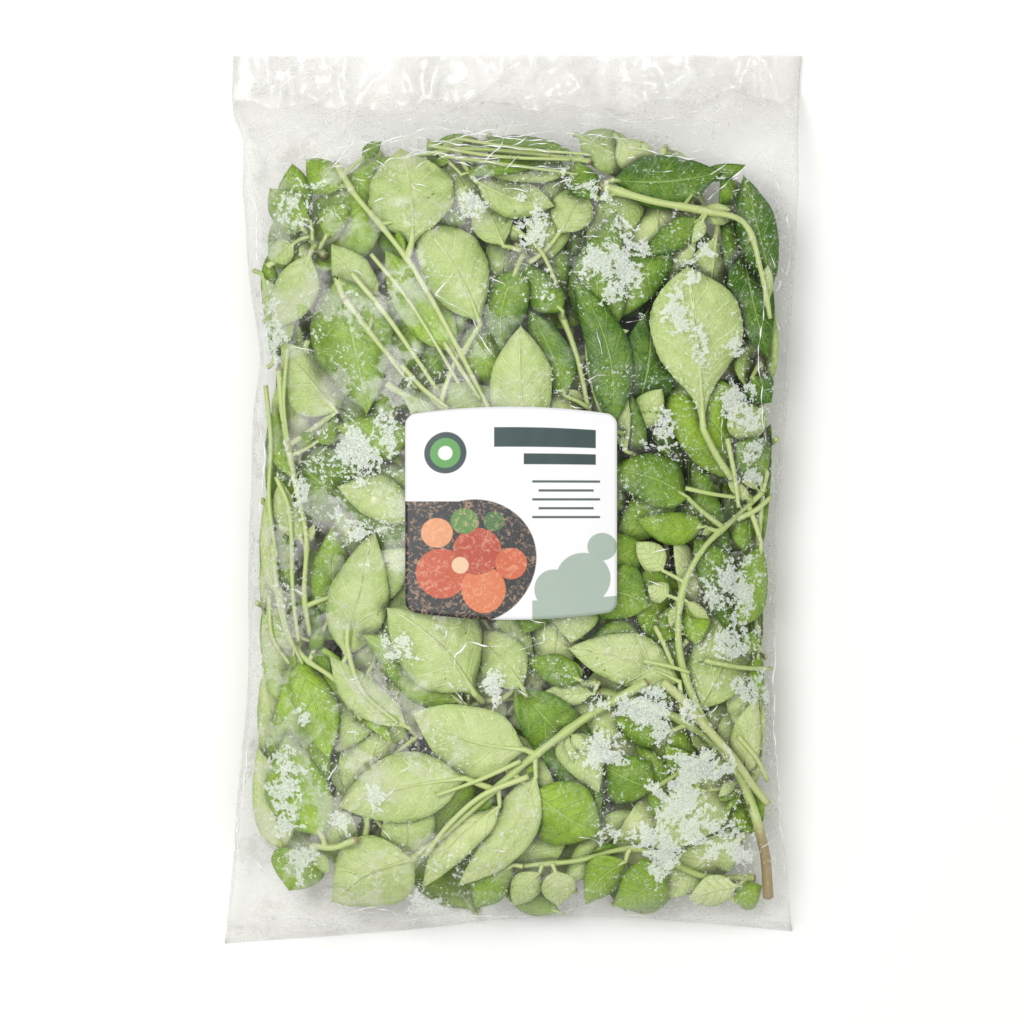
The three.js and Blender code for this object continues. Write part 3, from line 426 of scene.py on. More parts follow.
# leafy stems that show through the face
# line runs from the cut end to the growing tip; each leaf is
# [base x, base y, tip x, tip y, width, side that faces up, tone from 0 dark to 1 pale]
faceStems = [
    {"node": "corner_shoot", "stemOver": True,
     "line": [(-81, -177), (-94, -182), (-105, -181)],
     "leaves": [[-100, -176, -119, -122, 33, "over", 0.45], [-106, -184, -118, -206, 30, "over", 0.4]]},
    {"node": "upper_left_shoot", "radius": 1.4, "stemOver": True,
     "line": [(-93, 177), (-83, 160), (-68, 142), (-53, 122), (-34, 89), (-14, 50), (-2, 25)],
     "leaves": [[-53, 133, -59, 185, 46, "under", 0.6, 1.1], [-17, 91, -50, 146, 35, "under", 0.55, 1.4],
                [-88, 164, -109, 179, 19, "over", 0.6], [-53, 149, -24, 144, 14, "over", 0.3],
                [7, 31, 4, 91, 34, "under", 0.6], [-79, 179, -69, 189, 8, "over", 0.2]]},
    {"node": "lower_left_shoot", "radius": 2.4, "stemOver": True,
     "line": [(70, -95), (40, -112), (9, -135), (-5, -147), (-35, -174), (-51, -186)],
     "leaves": [[-25, -145, -92, -160, 37, "under", 0.6], [-52, -188, -96, -212, 41, "under", 0.6],
                [-7, -160, -48, -204, 20, "under", 0.7], [12, -144, -29, -203, 24, "under", 0.6],
                [6, -130, -53, -111, 37, "under", 0.6], [10, -151, 46, -175, 36, "over", 0.55],
                [25, -122, 45, -153, 21, "under", 0.4]]},
    {"node": "right_shoot", "radius": 2.8, "woody": 0.2, "stemOver": True,
     "line": [(135, -210), (132, -183), (120, -147), (98, -112), (87, -80), (88, -49), (99, -26), (117, -9),
              (131, 4)],
     "leaves": [[99, 37, 91, 123, 50, "under", 0.6, 1.75], [136, 14, 117, 30, 26, "over", 0.2],
                [91, 1, 47, 15, 27, "over", 0.25], [100, -14, 64, -10, 18, "over", 0.45],
                [78, -37, 64, -22, 15, "under", 0.6], [131, -22, 118, -67, 26, "over", 0.5],
                [91, -56, 96, -76, 16, "over", 0.6], [81, -50, 70, -45, 12, "under", 0.6],
                [84, -55, 78, -75, 13, "over", 0.6]]},
    {"node": "upper_right_shoot", "radius": 2.0, "stemOver": True,
     "line": [(46, 164), (73, 156), (100, 151), (121, 145), (130, 120), (135, 95)],
     "leaves": [[52, 167, 110, 172, 28, "over", 0.2], [136, 112, 121, 171, 22, "over", 0.15],
                [99, 170, 123, 176, 9, "over", 0.3], [98, 151, 122, 153, 11, "under", 0.7],
                [121, 130, 134, 74, 25, "over", 0.1], [98, 147, 68, 127, 15, "over", 0.5],
                [45, 157, 33, 177, 17, "over", 0.4]]},
    {"node": "upper_middle_shoot", "stemOver": False,
     "line": [(73, 16), (56, 37), (46, 65), (46, 85), (52, 110)],
     "leaves": [[52, 36, 31, 117, 23, "over", 0.2], [59, 25, 38, 100, 18, "under", 0.7],
                [67, 20, 60, 58, 13, "over", 0.3], [65, 37, 78, 58, 17, "under", 0.5],
                [64, 45, 71, 100, 30, "over", 0.1], [46, 83, 54, 151, 29, "over", 0.5]]},
    {"node": "lower_middle_shoot", "stemOver": False,
     "line": [(45, -95), (13, -102), (-17, -106), (-42, -118), (-62, -133)],
     "leaves": [[-20, -101, -66, -56, 45, "under", 0.55], [-27, -106, -79, -70, 30, "over", 0.5],
                [5, -98, -24, -68, 25, "under", 0.5], [1, -98, 46, -172, 30, "over", 0.15],
                [35, -94, 6, -83, 16, "over", 0.4], [-54, -119, -96, -81, 19, "under", 0.6],
                [42, -101, 16, -100, 12, "under", 0.6]]},
    {"node": "middle_left_shoot", "radius": 1.4, "stemOver": True,
     "line": [(-88, 105), (-62, 72), (-40, 51), (-20, 32), (-2, 5)],
     "leaves": [[-92, 116, -76, 44, 43, "over", 0.4], [-73, 100, -95, 134, 21, "under", 0.6],
                [-29, 75, -67, 131, 26, "over", 0.75], [-52, 32, -93, 38, 22, "over", 0.5],
                [-51, -10, -92, 7, 23, "under", 0.7]]},
    {"node": "left_lower_shoot", "radius": 1.4, "stemOver": True,
     "line": [(-126, -22), (-123, -50), (-118, -70), (-110, -82), (-92, -95), (-79, -115)],
     "leaves": [[-106, -74, -62, -128, 15, "over", 0.7], [-114, -81, -96, -136, 23, "over", 0.5],
                [-115, -79, -130, -56, 16, "under", 0.6], [-124, -50, -128, 8, 14, "under", 0.7],
                [-87, -82, -72, -16, 31, "under", 0.7], [-96, -62, -94, -13, 22, "over", 0.5]]},
    {"node": "left_shoot", "radius": 1.5, "stemOver": True,
     "line": [(-123, 69), (-120, 40), (-114, 10), (-108, -20), (-109, -50), (-106, -71)],
     "leaves": [[-92, 46, -122, 83, 32, "under", 0.6], [-115, 11, -125, 49, 13, "over", 0.6],
                [-110, -22, -122, 11, 15, "under", 0.7], [-115, -46, -122, -2, 10, "over", 0.5],
                [-83, -48, -53, -25, 26, "under", 0.6], [-103, 30, -92, 44, 14, "over", 0.4]]},
    {"node": "left_corner_shoot", "stemOver": False,
     "line": [(-98, 127), (-109, 141), (-117, 155), (-120, 165)],
     "leaves": [[-106, 129, -127, 89, 24, "under", 0.6], [-110, 142, -128, 164, 20, "over", 0.5],
                [-106, 146, -126, 151, 15, "under", 0.5], [-109, 151, -116, 177, 18, "over", 0.5],
                [-98, 137, -86, 155, 15, "over", 0.5], [-115, 134, -129, 126, 14, "under", 0.5]]},
    {"node": "top_shoot", "radius": 1.4, "stemOver": True,
     "line": [(41, 177), (6, 182), (-24, 184), (-50, 181)],
     "leaves": [[-27, 170, 26, 178, 9, "over", 0.5], [28, 170, -23, 174, 11, "under", 0.6],
                [33, 181, -24, 187, 8, "over", 0.4], [-19, 166, 22, 153, 22, "under", 0.6],
                [-45, 182, -18, 190, 9, "over", 0.5]]},
    {"node": "lower_right_shoot", "radius": 2.6, "stemOver": True,
     "line": [(45, -100), (65, -106), (91, -117), (117, -141), (128, -172)],
     "leaves": [[87, -95, 28, -77, 28, "under", 0.6], [81, -121, 53, -115, 24, "over", 0.3],
                [73, -151, 45, -137, 27, "over", 0.15], [97, -152, 79, -128, 15, "over", 0.4],
                [117, -149, 73, -182, 32, "under", 0.5], [118, -156, 129, -177, 24, "over", 0.4],
                [122, -145, 130, -102, 18, "under", 0.5]]},
    {"node": "centre_shoot", "stemOver": False,
     "line": [(1, 134), (13, 117), (24, 99), (33, 75), (41, 40)],
     "leaves": [[2, 120, -6, 76, 25, "over", 0.25], [27, 54, 7, 100, 20, "over", 0.3],
                [26, 98, -1, 127, 18, "over", 0.3], [-5, 132, -19, 160, 22, "under", 0.6],
                [24, 139, 38, 166, 22, "under", 0.6]]},
    {"node": "foot_shoot", "stemOver": False,
     "line": [(128, -200), (100, -198), (65, -183), (33, -189), (5, -192)],
     "leaves": [[118, -203, 92, -210, 17, "under", 0.6], [117, -212, 132, -204, 16, "over", 0.4],
                [79, -193, 53, -214, 28, "over", 0.4], [59, -189, 38, -213, 22, "over", 0.5],
                [22, -194, 24, -214, 18, "under", 0.6], [14, -195, 0, -214, 16, "under", 0.5],
                [0, -191, -20, -215, 22, "over", 0.4]]},
    {"node": "right_side_shoot", "stemOver": False,
     "line": [(130, 75), (131, 50), (132, 25), (130, -10), (127, -50), (129, -80)],
     "leaves": [[125, 64, 137, 51, 18, "over", 0.1], [131, -77, 120, -71, 14, "over", 0.3],
                [130, -45, 120, -30, 20, "under", 0.5], [130, -80, 132, -110, 16, "over", 0.3],
                [128, 30, 117, 52, 22, "under", 0.4]]},
    {"node": "label_shoot", "stemOver": False,
     "line": [(-30, 10), (-5, -10), (25, -30), (45, -50), (65, -70)],
     "leaves": [[43, -48, 71, -56, 31, "over", 0.4], [30, -35, 5, -70, 30, "over", 0.4],
                [50, -34, 70, -24, 24, "over", 0.4], [-15, -5, -45, -50, 34, "over", 0.5],
                [-5, 0, 25, 35, 34, "under", 0.5], [-20, 5, -42, 37, 30, "over", 0.4],
                [40, -45, 30, -75, 26, "under", 0.5], [65, -70, 40, -75, 20, "over", 0.4]]},
]

# the stems behind them, by the same seeded rule as the solids
backStems = {"node": "back_shoot", "side": "below", "count": 6, "seed": 11, "leafPairs": 4, "halfSpan": 100,
             "reach": 164, "pitch": 46}
innerStems = {"node": "inner_shoot", "side": "above", "count": 4, "seed": 12, "leafPairs": 4, "halfSpan": 92,
              "reach": 174, "pitch": 52}
packedLeaf = {"least": 52, "most": 76, "slimness": 0.6, "petiole": 9, "leastTurn": 0.75, "mostTurn": 1.3}


def toneHere(x, y, facing, tone):
    # the left is hazier and more even than the right, the foot end is the palest, and the lower right is bright
    left = min(max(0.5 - x / 120, 0), 1)
    low = min(max((-60 - y) / 60, 0), 1)
    bright = min(max((x - 40) / 40, 0), 1) * min(max((80 - y) / 50, 0), 1)
    if facing == "over":
        return tone + 0.22 * left - 0.1 * (1 - left) + 0.25 * low + 0.3 * bright
    return tone - 0.15 * left + 0.2 * low + 0.22 * bright


def seededDraw(seed):
    state = [seed & 0xFFFFFFFF]

    def draw():
        state[0] = (state[0] + 0x6D2B79F5) & 0xFFFFFFFF
        t = state[0]
        t = ((t ^ (t >> 15)) * (t | 1)) & 0xFFFFFFFF
        t ^= (t + (((t ^ (t >> 7)) * (t | 61)) & 0xFFFFFFFF)) & 0xFFFFFFFF
        return ((t ^ (t >> 14)) & 0xFFFFFFFF) / 4294967296
    return draw


def packedStems(rule):
    draw = seededDraw(rule["seed"])
    mix = lambda a, b, t: a + (b - a) * t
    stems = []
    for k in range(rule["count"]):
        x = mix(-rule["halfSpan"], rule["halfSpan"], k / (rule["count"] - 1))
        turned = -1 if k % 2 else 1
        sway = mix(-14, 14, draw())
        start = (x, -turned * rule["reach"])
        end = (x + sway, turned * (rule["reach"] - 40 * draw()))
        middle = (x - sway, mix(-20, 20, draw()))
        leaves = []
        for pair in range(rule["leafPairs"]):
            y = start[1] + turned * (rule["pitch"] * (pair + 1) + 10 * draw())
            for hand in (-1, 1):
                length = mix(packedLeaf["least"], packedLeaf["most"], draw())
                turn = mix(packedLeaf["leastTurn"], packedLeaf["mostTurn"], draw())
                way = (hand * math.sin(turn), turned * math.cos(turn))
                lineX = float(smoothThrough([(q[1], q[0]) for q in sorted((start, middle, end), key=lambda q: q[1])], y))
                base = (lineX + way[0] * packedLeaf["petiole"], y + way[1] * packedLeaf["petiole"])
                tip = (min(max(base[0] + way[0] * length, -125), 127), min(max(base[1] + way[1] * length, -204), 184))
                facing = "over" if draw() < 0.5 else "under"
                leaves.append([*base, *tip, length * packedLeaf["slimness"], facing, 0.35 + 0.3 * (k % 3) / 2])
        stems.append({"node": f"{rule['node']}_{len(stems) + 1}", "side": rule["side"], "stemOver": k % 2 == 0,
                      "line": [start, middle, end], "leaves": leaves})
    return stems


def jointOn(path, leaf):
    # the place on a stem that a petiole leaves from: near its blade, and where it need turn least to reach it
    base, tip = np.array(leaf[:2]), np.array(leaf[2:4])
    along = (tip - base) / np.linalg.norm(tip - base)
    way = base - path[:, :2]
    away = np.linalg.norm(way, axis=1)
    return path[np.argmin(away + 14 * (1 - (way @ along) / np.maximum(away, 1e-6)))]


stemForm = {"tipRadius": 1.1, "barkTone": 1.5, "jointSwell": 0.28, "spacing": 2.5,
            "sprigChance": 0.45, "sprigLeast": 8, "sprigMost": 16}


def layStem(stem, seed):
    rng = np.random.default_rng(seed)
    piece = Piece()
    side = stem.get("side", "above")
    pts = np.array(stem["line"], float)
    length = float(np.hypot(*np.diff(pts, axis=0).T).sum())
    count = max(int(length / stemForm["spacing"]), 8)
    radii = np.linspace(stem.get("radius", 1.8), stemForm["tipRadius"], count)

    def makeStem():
        path = restLine(stem["line"], radii, side, count)
        swell = np.zeros(count)
        for leaf in stem["leaves"]:
            joint = jointOn(path, leaf)
            near = np.argmin(np.hypot(path[:, 0] - joint[0], path[:, 1] - joint[1]))
            swell += np.exp(-((np.arange(count) - near) * stemForm["spacing"] / 3.5) ** 2)
        bark = stemForm["barkTone"] * np.clip(1 - np.arange(count) / count / stem.get("woody", 0.001), 0, 1) ** 0.5
        tone = np.concatenate([np.repeat(rng.uniform(0.3, 0.7) + bark, 12), [0.5 + bark[0], 0.5]])
        addTube(piece, path, radii * (1 + stemForm["jointSwell"] * np.minimum(swell, 1)), 1, tone, sides=12, stamp=side)
        return path

    def sprigs(path):
        # small leaves in the angles where the petioles leave the stem
        for leaf in stem["leaves"]:
            if rng.uniform() > stemForm["sprigChance"]:
                continue
            near = jointOn(path, leaf)
            heading = math.atan2(leaf[3] - leaf[1], leaf[2] - leaf[0])
            for _ in range(int(rng.integers(1, 3))):
                turn = heading + rng.uniform(-1.1, 1.1)
                size = rng.uniform(stemForm["sprigLeast"], stemForm["sprigMost"])
                base = near[:2] + np.array([math.cos(turn), math.sin(turn)]) * rng.uniform(2, 5)
                tip = base + np.array([math.cos(turn), math.sin(turn)]) * size
                if np.abs(acrossAt(tip[0], tip[1])) > 0.95 or fullness(tip[1]) < 0.35:
                    continue
                addLeaf(piece, rng, base, tip, size * rng.uniform(0.42, 0.6), "over" if rng.uniform() < 0.6 else "under",
                        side, rng.uniform(0.4, 0.9), joint=near, detail=1.4)

    path = makeStem() if stem["stemOver"] else None
    if path is not None:
        sprigs(path)
    guess = restLine(stem["line"], radii, side, count) if path is None else path
    sign = -1 if side == "above" else 1
    for leaf in stem["leaves"]:
        near = jointOn(guess, leaf).copy()
        if path is None:
            near[2] += sign * 5
        addLeaf(piece, rng, leaf[:2], leaf[2:4], leaf[4], leaf[5], side,
                toneHere((leaf[0] + leaf[2]) / 2, (leaf[1] + leaf[3]) / 2, leaf[5], leaf[6]), joint=near,
                widest=leaf[7] if len(leaf) > 7 else 1.0)
    if path is None:
        path = makeStem()
        sprigs(path)
    return piece


# bare stalks and petioles that lie on top, as (radius, tone, points)
looseStalks = [
    (1.3, 0.8, [(-58, 70), (-47, 58), (-33, 47)]), (1.2, 0.6, [(-36, 82), (-26, 66), (-17, 52)]),
    (1.0, 0.5, [(-66, 77), (-58, 66), (-50, 58)]), (1.4, 0.7, [(-84, 118), (-66, 96), (-52, 76), (-40, 58)]),
    (1.1, 0.6, [(-74, 128), (-56, 106), (-42, 84), (-28, 60)]), (1.2, 0.5, [(0, 142), (14, 130), (23, 112)]),
    (1.0, 0.6, [(-44, 186), (-10, 180), (30, 178)]), (0.9, 0.4, [(-36, 180), (0, 175), (34, 170)]),
    (0.9, 0.7, [(-30, 190), (6, 184), (40, 181)]), (1.3, 0.7, [(112, 32), (116, 12), (118, -4)]),
    (1.2, 0.6, [(90, 6), (104, 3), (118, 1)]), (1.5, 0.7, [(118, -10), (128, -5), (136, 2)]),
    (1.2, 0.7, [(68, -84), (82, -87), (92, -90)]), (1.3, 0.6, [(74, -66), (79, -76), (84, -88)]),
    (2.4, 0.95, [(78, -95), (90, -106), (100, -118), (116, -136), (126, -150), (134, -160)]),
    (1.4, 0.6, [(100, -84), (120, -88), (136, -89)]), (1.3, 0.7, [(118, -124), (128, -136), (134, -148)]),
    (1.3, 0.5, [(-124, 12), (-117, -6), (-115, -50), (-112, -74)]), (1.1, 0.6, [(-128, -50), (-126, -72), (-117, -86)]),
    (1.1, 0.4, [(-122, -46), (-118, -68), (-110, -86)]), (1.4, 0.6, [(-86, -64), (-86, -78), (-78, -100), (-60, -116)]),
    (1.2, 0.5, [(-130, 60), (-127, 30), (-128, 0), (-124, -30)]), (1.0, 0.4, [(-118, 80), (-120, 52), (-117, 26)]),
    (1.5, 0.8, [(8, -144), (-16, -154), (-34, -170), (-46, -186)]), (1.2, 0.7, [(4, -136), (-18, -146), (-40, -154)]),
]


def layStalks():
    piece = Piece()
    for radius, tone, points in looseStalks:
        span = float(np.hypot(*np.diff(np.array(points, float), axis=0).T).sum())
        count = max(int(span / 2.5), 8)
        radii = np.linspace(radius, radius * 0.75, count)
        addTube(piece, restLine(points, radii, "above", count), radii, 1, tone, sides=10, stamp="above")
    return piece


# looser leaves that fill the gaps between the stems
fillLeaves = {"seed": 5, "tries": 1100, "least": 44, "most": 84, "smallLeast": 14, "openShare": 0.3,
              "backTries": 260, "paleBelow": -70, "cornerLimit": 1.06}


def fillGaps(side, tries, seed):
    rng = np.random.default_rng(seed)
    pieces = [Piece() for _ in range(4)]
    start = pile["film"] if side == "above" else pile["back"]
    current = "roof" if side == "above" else "ground"
    placed = 0
    for k in range(tries):
        x, y = rng.uniform(-140, 146), rng.uniform(-218, 194)
        if not np.abs(acrossAt(x, y)) < 0.97 or fullness(y) < 0.3:
            continue
        late = k / tries
        length = rng.uniform(fillLeaves["least"], fillLeaves["most"]) * (1.1 - 0.5 * late)
        turn = rng.normal(math.pi / 2 if rng.uniform() < 0.5 else -math.pi / 2, 0.55)
        way = np.array([math.cos(turn), math.sin(turn)])
        width = length * rng.uniform(0.38, 0.56)
        reach = max(width * 0.4, 4)
        j, i = cellsOf(np.array([x]), np.array([y]))
        r = int(reach)
        window = (slice(max(j[0] - r, 0), j[0] + r), slice(max(i[0] - r, 0), i[0] + r))
        openShare = np.mean(np.abs(pile[current][window] - start[window]) < 0.5)
        if openShare < fillLeaves["openShare"] * (1 - 0.6 * late):
            continue
        base, tip = np.array([x, y]) - way * length * 0.5, np.array([x, y]) + way * length * 0.5
        if max(abs(acrossAt(*base)), abs(acrossAt(*tip))) > 0.975 or min(fullness(base[1]), fullness(tip[1])) < 0.25:
            continue
        corner = lambda p: (p[0] / 140) ** 4 + ((p[1] + 11) / 207) ** 4
        if max(corner(base), corner(tip)) > fillLeaves["cornerLimit"]:
            continue
        band = min(int((y + 220) / 104), 3)
        stub = base - way * 9
        if abs(acrossAt(*stub)) > 0.9 or fullness(stub[1]) < 0.55:
            stub = base - way * 2.5
        near = np.array([*stub, 0.0])
        near[2] = float(readPile(current, near[:1], near[1:2])[0]) + (-4 if side == "above" else 4)
        facing = "over" if rng.uniform() < (0.36 if y < fillLeaves["paleBelow"] else 0.62) else "under"
        addLeaf(pieces[band], rng, base, tip, width, facing, side, toneHere(x, y, facing, rng.uniform(0.1, 0.8)), joint=near)
        placed += 1
    inside = pile["inside"]
    openLeft = np.mean(np.abs(pile[current] - start)[inside] < 0.5)
    print(f"gap leaves {side}: {placed}, still open {openLeft:.3f}")
    return pieces


# turning pieces into Blender objects
def makeObject(name, piece, materials):
    verts = np.vstack(piece.verts) * mm
    faces = np.vstack(piece.faces)
    tri = faces[:, 2] == faces[:, 3]
    loops = np.where(tri, 3, 4)
    flat = faces.reshape(-1)[np.stack([np.ones_like(tri), np.ones_like(tri), np.ones_like(tri), ~tri], axis=1).reshape(-1)]
    mesh = bpy.data.meshes.new(name)
    mesh.vertices.add(len(verts))
    mesh.vertices.foreach_set("co", verts.astype(np.float32).reshape(-1))
    mesh.loops.add(len(flat))
    mesh.loops.foreach_set("vertex_index", flat.astype(np.int32))
    mesh.polygons.add(len(faces))
    mesh.polygons.foreach_set("loop_start", np.concatenate([[0], np.cumsum(loops)[:-1]]).astype(np.int32))
    mesh.polygons.foreach_set("loop_total", loops.astype(np.int32))
    mesh.polygons.foreach_set("material_index", np.concatenate(piece.slots).astype(np.int32))
    mesh.polygons.foreach_set("use_smooth", np.ones(len(faces), bool))
    uv = mesh.uv_layers.new(name="UVMap")
    uv.data.foreach_set("uv", np.vstack(piece.uvs)[flat].astype(np.float32).reshape(-1))
    at = np.vstack(piece.verts)
    # each point keeps its tone, its pale side and its painted shade
    for key, values in (("tone", np.concatenate(piece.tones)), ("paleSide", np.concatenate(piece.sides)),
                        ("paintedShade", shadeAt(at[:, 0], at[:, 1], np.concatenate(piece.rests)))):
        layer = mesh.attributes.new(key, "FLOAT", "POINT")
        layer.data.foreach_set("value", values.astype(np.float32))
    mesh.update(calc_edges=True)
    mesh.validate()
    for material in materials:
        mesh.materials.append(material)
    obj = bpy.data.objects.new(name, mesh)
    bpy.context.scene.collection.objects.link(obj)
    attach(obj, "root")
    return obj


# materials
def srgb(r, g, b):
    return tuple((c / 255 / 12.92 if c <= 10 else ((c / 255 + 0.055) / 1.055) ** 2.4) for c in (r, g, b)) + (1.0,)


class Nodes:
    # a short hand for wiring one material
    def __init__(self, name):
        self.material = bpy.data.materials.new(name)
        self.material.use_nodes = True
        self.tree = self.material.node_tree
        self.tree.nodes.clear()
        self.out = self.tree.nodes.new("ShaderNodeOutputMaterial")
        self.surface = self.tree.nodes.new("ShaderNodeBsdfPrincipled")
        self.tree.links.new(self.surface.outputs[0], self.out.inputs["Surface"])

    def node(self, kind, **settings):
        made = self.tree.nodes.new(kind)
        for key, value in settings.items():
            setattr(made, key, value)
        return made

    def plug(self, value, socket):
        if hasattr(value, "is_output"):
            self.tree.links.new(value, socket)
        else:
            socket.default_value = value

    def math(self, operation, a, b=0.0, c=0.0, clamp=False):
        made = self.node("ShaderNodeMath", operation=operation, use_clamp=clamp)
        for value, socket in zip((a, b, c), made.inputs):
            self.plug(value, socket)
        return made.outputs[0]

    def mix(self, share, a, b):
        made = self.node("ShaderNodeMix", data_type="RGBA")
        self.plug(share, made.inputs[0])
        self.plug(a, made.inputs[6])
        self.plug(b, made.inputs[7])
        return made.outputs[2]

    def step(self, value, low, high):
        made = self.node("ShaderNodeMapRange", interpolation_type="SMOOTHSTEP")
        self.plug(value, made.inputs[0])
        made.inputs[1].default_value, made.inputs[2].default_value = low, high
        return made.outputs[0]

    def attribute(self, name):
        return self.node("ShaderNodeAttribute", attribute_name=name).outputs["Fac"]

    def noise(self, vector, scale, detail=3.0, roughness=0.55, distortion=0.0):
        made = self.node("ShaderNodeTexNoise")
        self.plug(vector, made.inputs["Vector"])
        made.inputs["Scale"].default_value = scale
        made.inputs["Detail"].default_value = detail
        made.inputs["Roughness"].default_value = roughness
        made.inputs["Distortion"].default_value = distortion
        return made.outputs["Fac"]

    def place(self):
        return self.node("ShaderNodeTexCoord").outputs["Object"]

    def bump(self, height, strength, distance):
        made = self.node("ShaderNodeBump")
        made.inputs["Strength"].default_value = strength
        made.inputs["Distance"].default_value = distance
        self.plug(height, made.inputs["Height"])
        self.plug(made.outputs[0], self.surface.inputs["Normal"])


# the blade's colours; gap is the dark colour that the painted shade between the leaves goes towards
leafLook = {
    "upperDark": srgb(54, 98, 8), "upperLight": srgb(160, 194, 56),
    "underDark": srgb(150, 178, 90), "underLight": srgb(206, 218, 154),
    "veinUpper": srgb(164, 198, 104), "veinUnder": srgb(226, 236, 178), "gap": srgb(20, 36, 8),
    "roughnessUpper": 0.36, "roughnessUnder": 0.58,
}


def leafMaterial():
    n = Nodes("basilBlade")
    uv = n.node("ShaderNodeUVMap", uv_map="UVMap").outputs[0]
    split = n.node("ShaderNodeSeparateXYZ")
    n.plug(uv, split.inputs[0])
    across = n.math("ABSOLUTE", n.math("SUBTRACT", n.math("MULTIPLY", split.outputs[0], 2.0), 1.0))
    along = split.outputs[1]
    place = n.place()
    tone, pale = n.attribute("tone"), n.attribute("paleSide")

    # side veins leave the midrib towards the tip and bend with the margin
    wander = n.math("MULTIPLY", n.noise(place, 120, 2), 0.05)
    climb = n.math("SUBTRACT", along, n.math("MULTIPLY", n.math("POWER", across, 0.85), leafForm["veinSlope"]))
    phase = n.math("MULTIPLY", n.math("ADD", climb, wander), leafForm["veins"] * 1.0)
    saw = n.math("ABSOLUTE", n.math("SUBTRACT", n.math("FRACT", phase), 0.5))
    sideVein = n.math("SUBTRACT", 1.0, n.step(saw, 0.0, 0.075), clamp=True)
    sideVein = n.math("MULTIPLY", sideVein, n.math("SUBTRACT", 1.0, n.step(across, 0.75, 1.0)))
    midrib = n.math("SUBTRACT", 1.0, n.step(across, 0.016, 0.06))
    net = n.node("ShaderNodeTexVoronoi", feature="DISTANCE_TO_EDGE")
    net.inputs["Scale"].default_value = 420
    n.plug(place, net.inputs["Vector"])
    netLine = n.math("SUBTRACT", 1.0, n.step(net.outputs["Distance"], 0.0, 0.12))
    ribs = n.math("MAXIMUM", n.math("MULTIPLY", sideVein, 0.75), midrib)
    veins = n.math("MAXIMUM", ribs, n.math("MULTIPLY", netLine, 0.22))

    blotch = n.noise(place, 60, 4, 0.66)
    grain = n.noise(place, 700, 2, 0.62)
    shade = n.math("ADD", n.math("MULTIPLY", tone, 0.8), n.math("MULTIPLY", n.math("SUBTRACT", blotch, 0.42), 1.1))
    margin = n.math("MULTIPLY", n.math("POWER", across, 2.5), 0.3)
    shade = n.math("SUBTRACT", n.math("ADD", shade, n.math("MULTIPLY", n.math("SUBTRACT", grain, 0.5), 0.7)), margin, clamp=True)
    upper = n.mix(shade, leafLook["upperDark"], leafLook["upperLight"])
    under = n.mix(shade, leafLook["underDark"], leafLook["underLight"])
    upper = n.mix(n.math("MULTIPLY", veins, 0.55), upper, leafLook["veinUpper"])
    under = n.mix(n.math("MULTIPLY", veins, 0.8), under, leafLook["veinUnder"])
    colour = n.mix(pale, upper, under)
    # painted shade: the blade's colour goes towards the dark gap colour where it lies behind its neighbours
    paintedShade = n.attribute("paintedShade")
    colour = n.mix(n.math("MULTIPLY", paintedShade, 0.92), colour, leafLook["gap"])
    n.plug(colour, n.surface.inputs["Base Color"])
    rough = n.math("ADD", leafLook["roughnessUpper"],
                   n.math("MULTIPLY", pale, leafLook["roughnessUnder"] - leafLook["roughnessUpper"]))
    n.plug(n.math("ADD", rough, n.math("MULTIPLY", n.math("SUBTRACT", blotch, 0.5), 0.15)), n.surface.inputs["Roughness"])
    n.surface.inputs["Specular IOR Level"].default_value = 0.33
    raised = n.math("MULTIPLY", ribs, n.math("SUBTRACT", n.math("MULTIPLY", pale, 2.0), 1.0))
    height = n.math("ADD", n.math("MULTIPLY", raised, 0.6), n.math("MULTIPLY", n.noise(place, 150, 3, 0.66), 2.0))
    n.bump(height, 0.8, 0.0009)
    return n.material


stemLook = {"green": srgb(142, 174, 74), "pale": srgb(216, 226, 156), "scar": srgb(118, 92, 48),
            "bark": srgb(150, 120, 84), "roughness": 0.45}


def stemMaterial():
    n = Nodes("basilStem")
    place = n.place()
    uv = n.node("ShaderNodeUVMap", uv_map="UVMap").outputs[0]
    stretch = n.node("ShaderNodeVectorMath", operation="MULTIPLY")
    n.plug(uv, stretch.inputs[0])
    stretch.inputs[1].default_value = (9, 0.8, 1)
    streak = n.noise(stretch.outputs[0], 2.0, 4, 0.6)
    patch = n.noise(place, 120, 3)
    tone = n.attribute("tone")
    share = n.math("ADD", n.math("MULTIPLY", tone, 0.5), n.math("MULTIPLY", streak, 0.6), clamp=True)
    colour = n.mix(share, stemLook["green"], stemLook["pale"])
    colour = n.mix(n.math("MULTIPLY", n.step(patch, 0.66, 0.72), 0.7), colour, stemLook["scar"])
    colour = n.mix(n.math("MULTIPLY", n.step(n.math("ADD", tone, n.math("MULTIPLY", streak, 0.6)), 1.1, 1.7), 0.85), colour, stemLook["bark"])
    # painted shade: the stem's colour goes towards the dark gap colour where it lies behind its neighbours
    colour = n.mix(n.math("MULTIPLY", n.attribute("paintedShade"), 0.85), colour, leafLook["gap"])
    n.plug(colour, n.surface.inputs["Base Color"])
    n.surface.inputs["Roughness"].default_value = stemLook["roughness"]
    n.bump(n.math("ADD", streak, n.math("MULTIPLY", n.noise(place, 500, 2), 0.3)), 0.5, 0.0004)
    return n.material


filmLook = {
    "clear": srgb(240, 237, 232), "paintedCreaseShade": srgb(216, 211, 208), "frost": srgb(226, 233, 222), "shine": srgb(252, 253, 251),
    "veil": 0.012, "leftVeil": 0.17, "contact": 0.008, "frostAlpha": 0.72, "fleckAlpha": 0.6,
    "hollowAlpha": 0.33, "rimAlpha": 0.45, "ridgeAlpha": 0.5,
    "roughness": 0.14, "frostRoughness": 0.6,
}


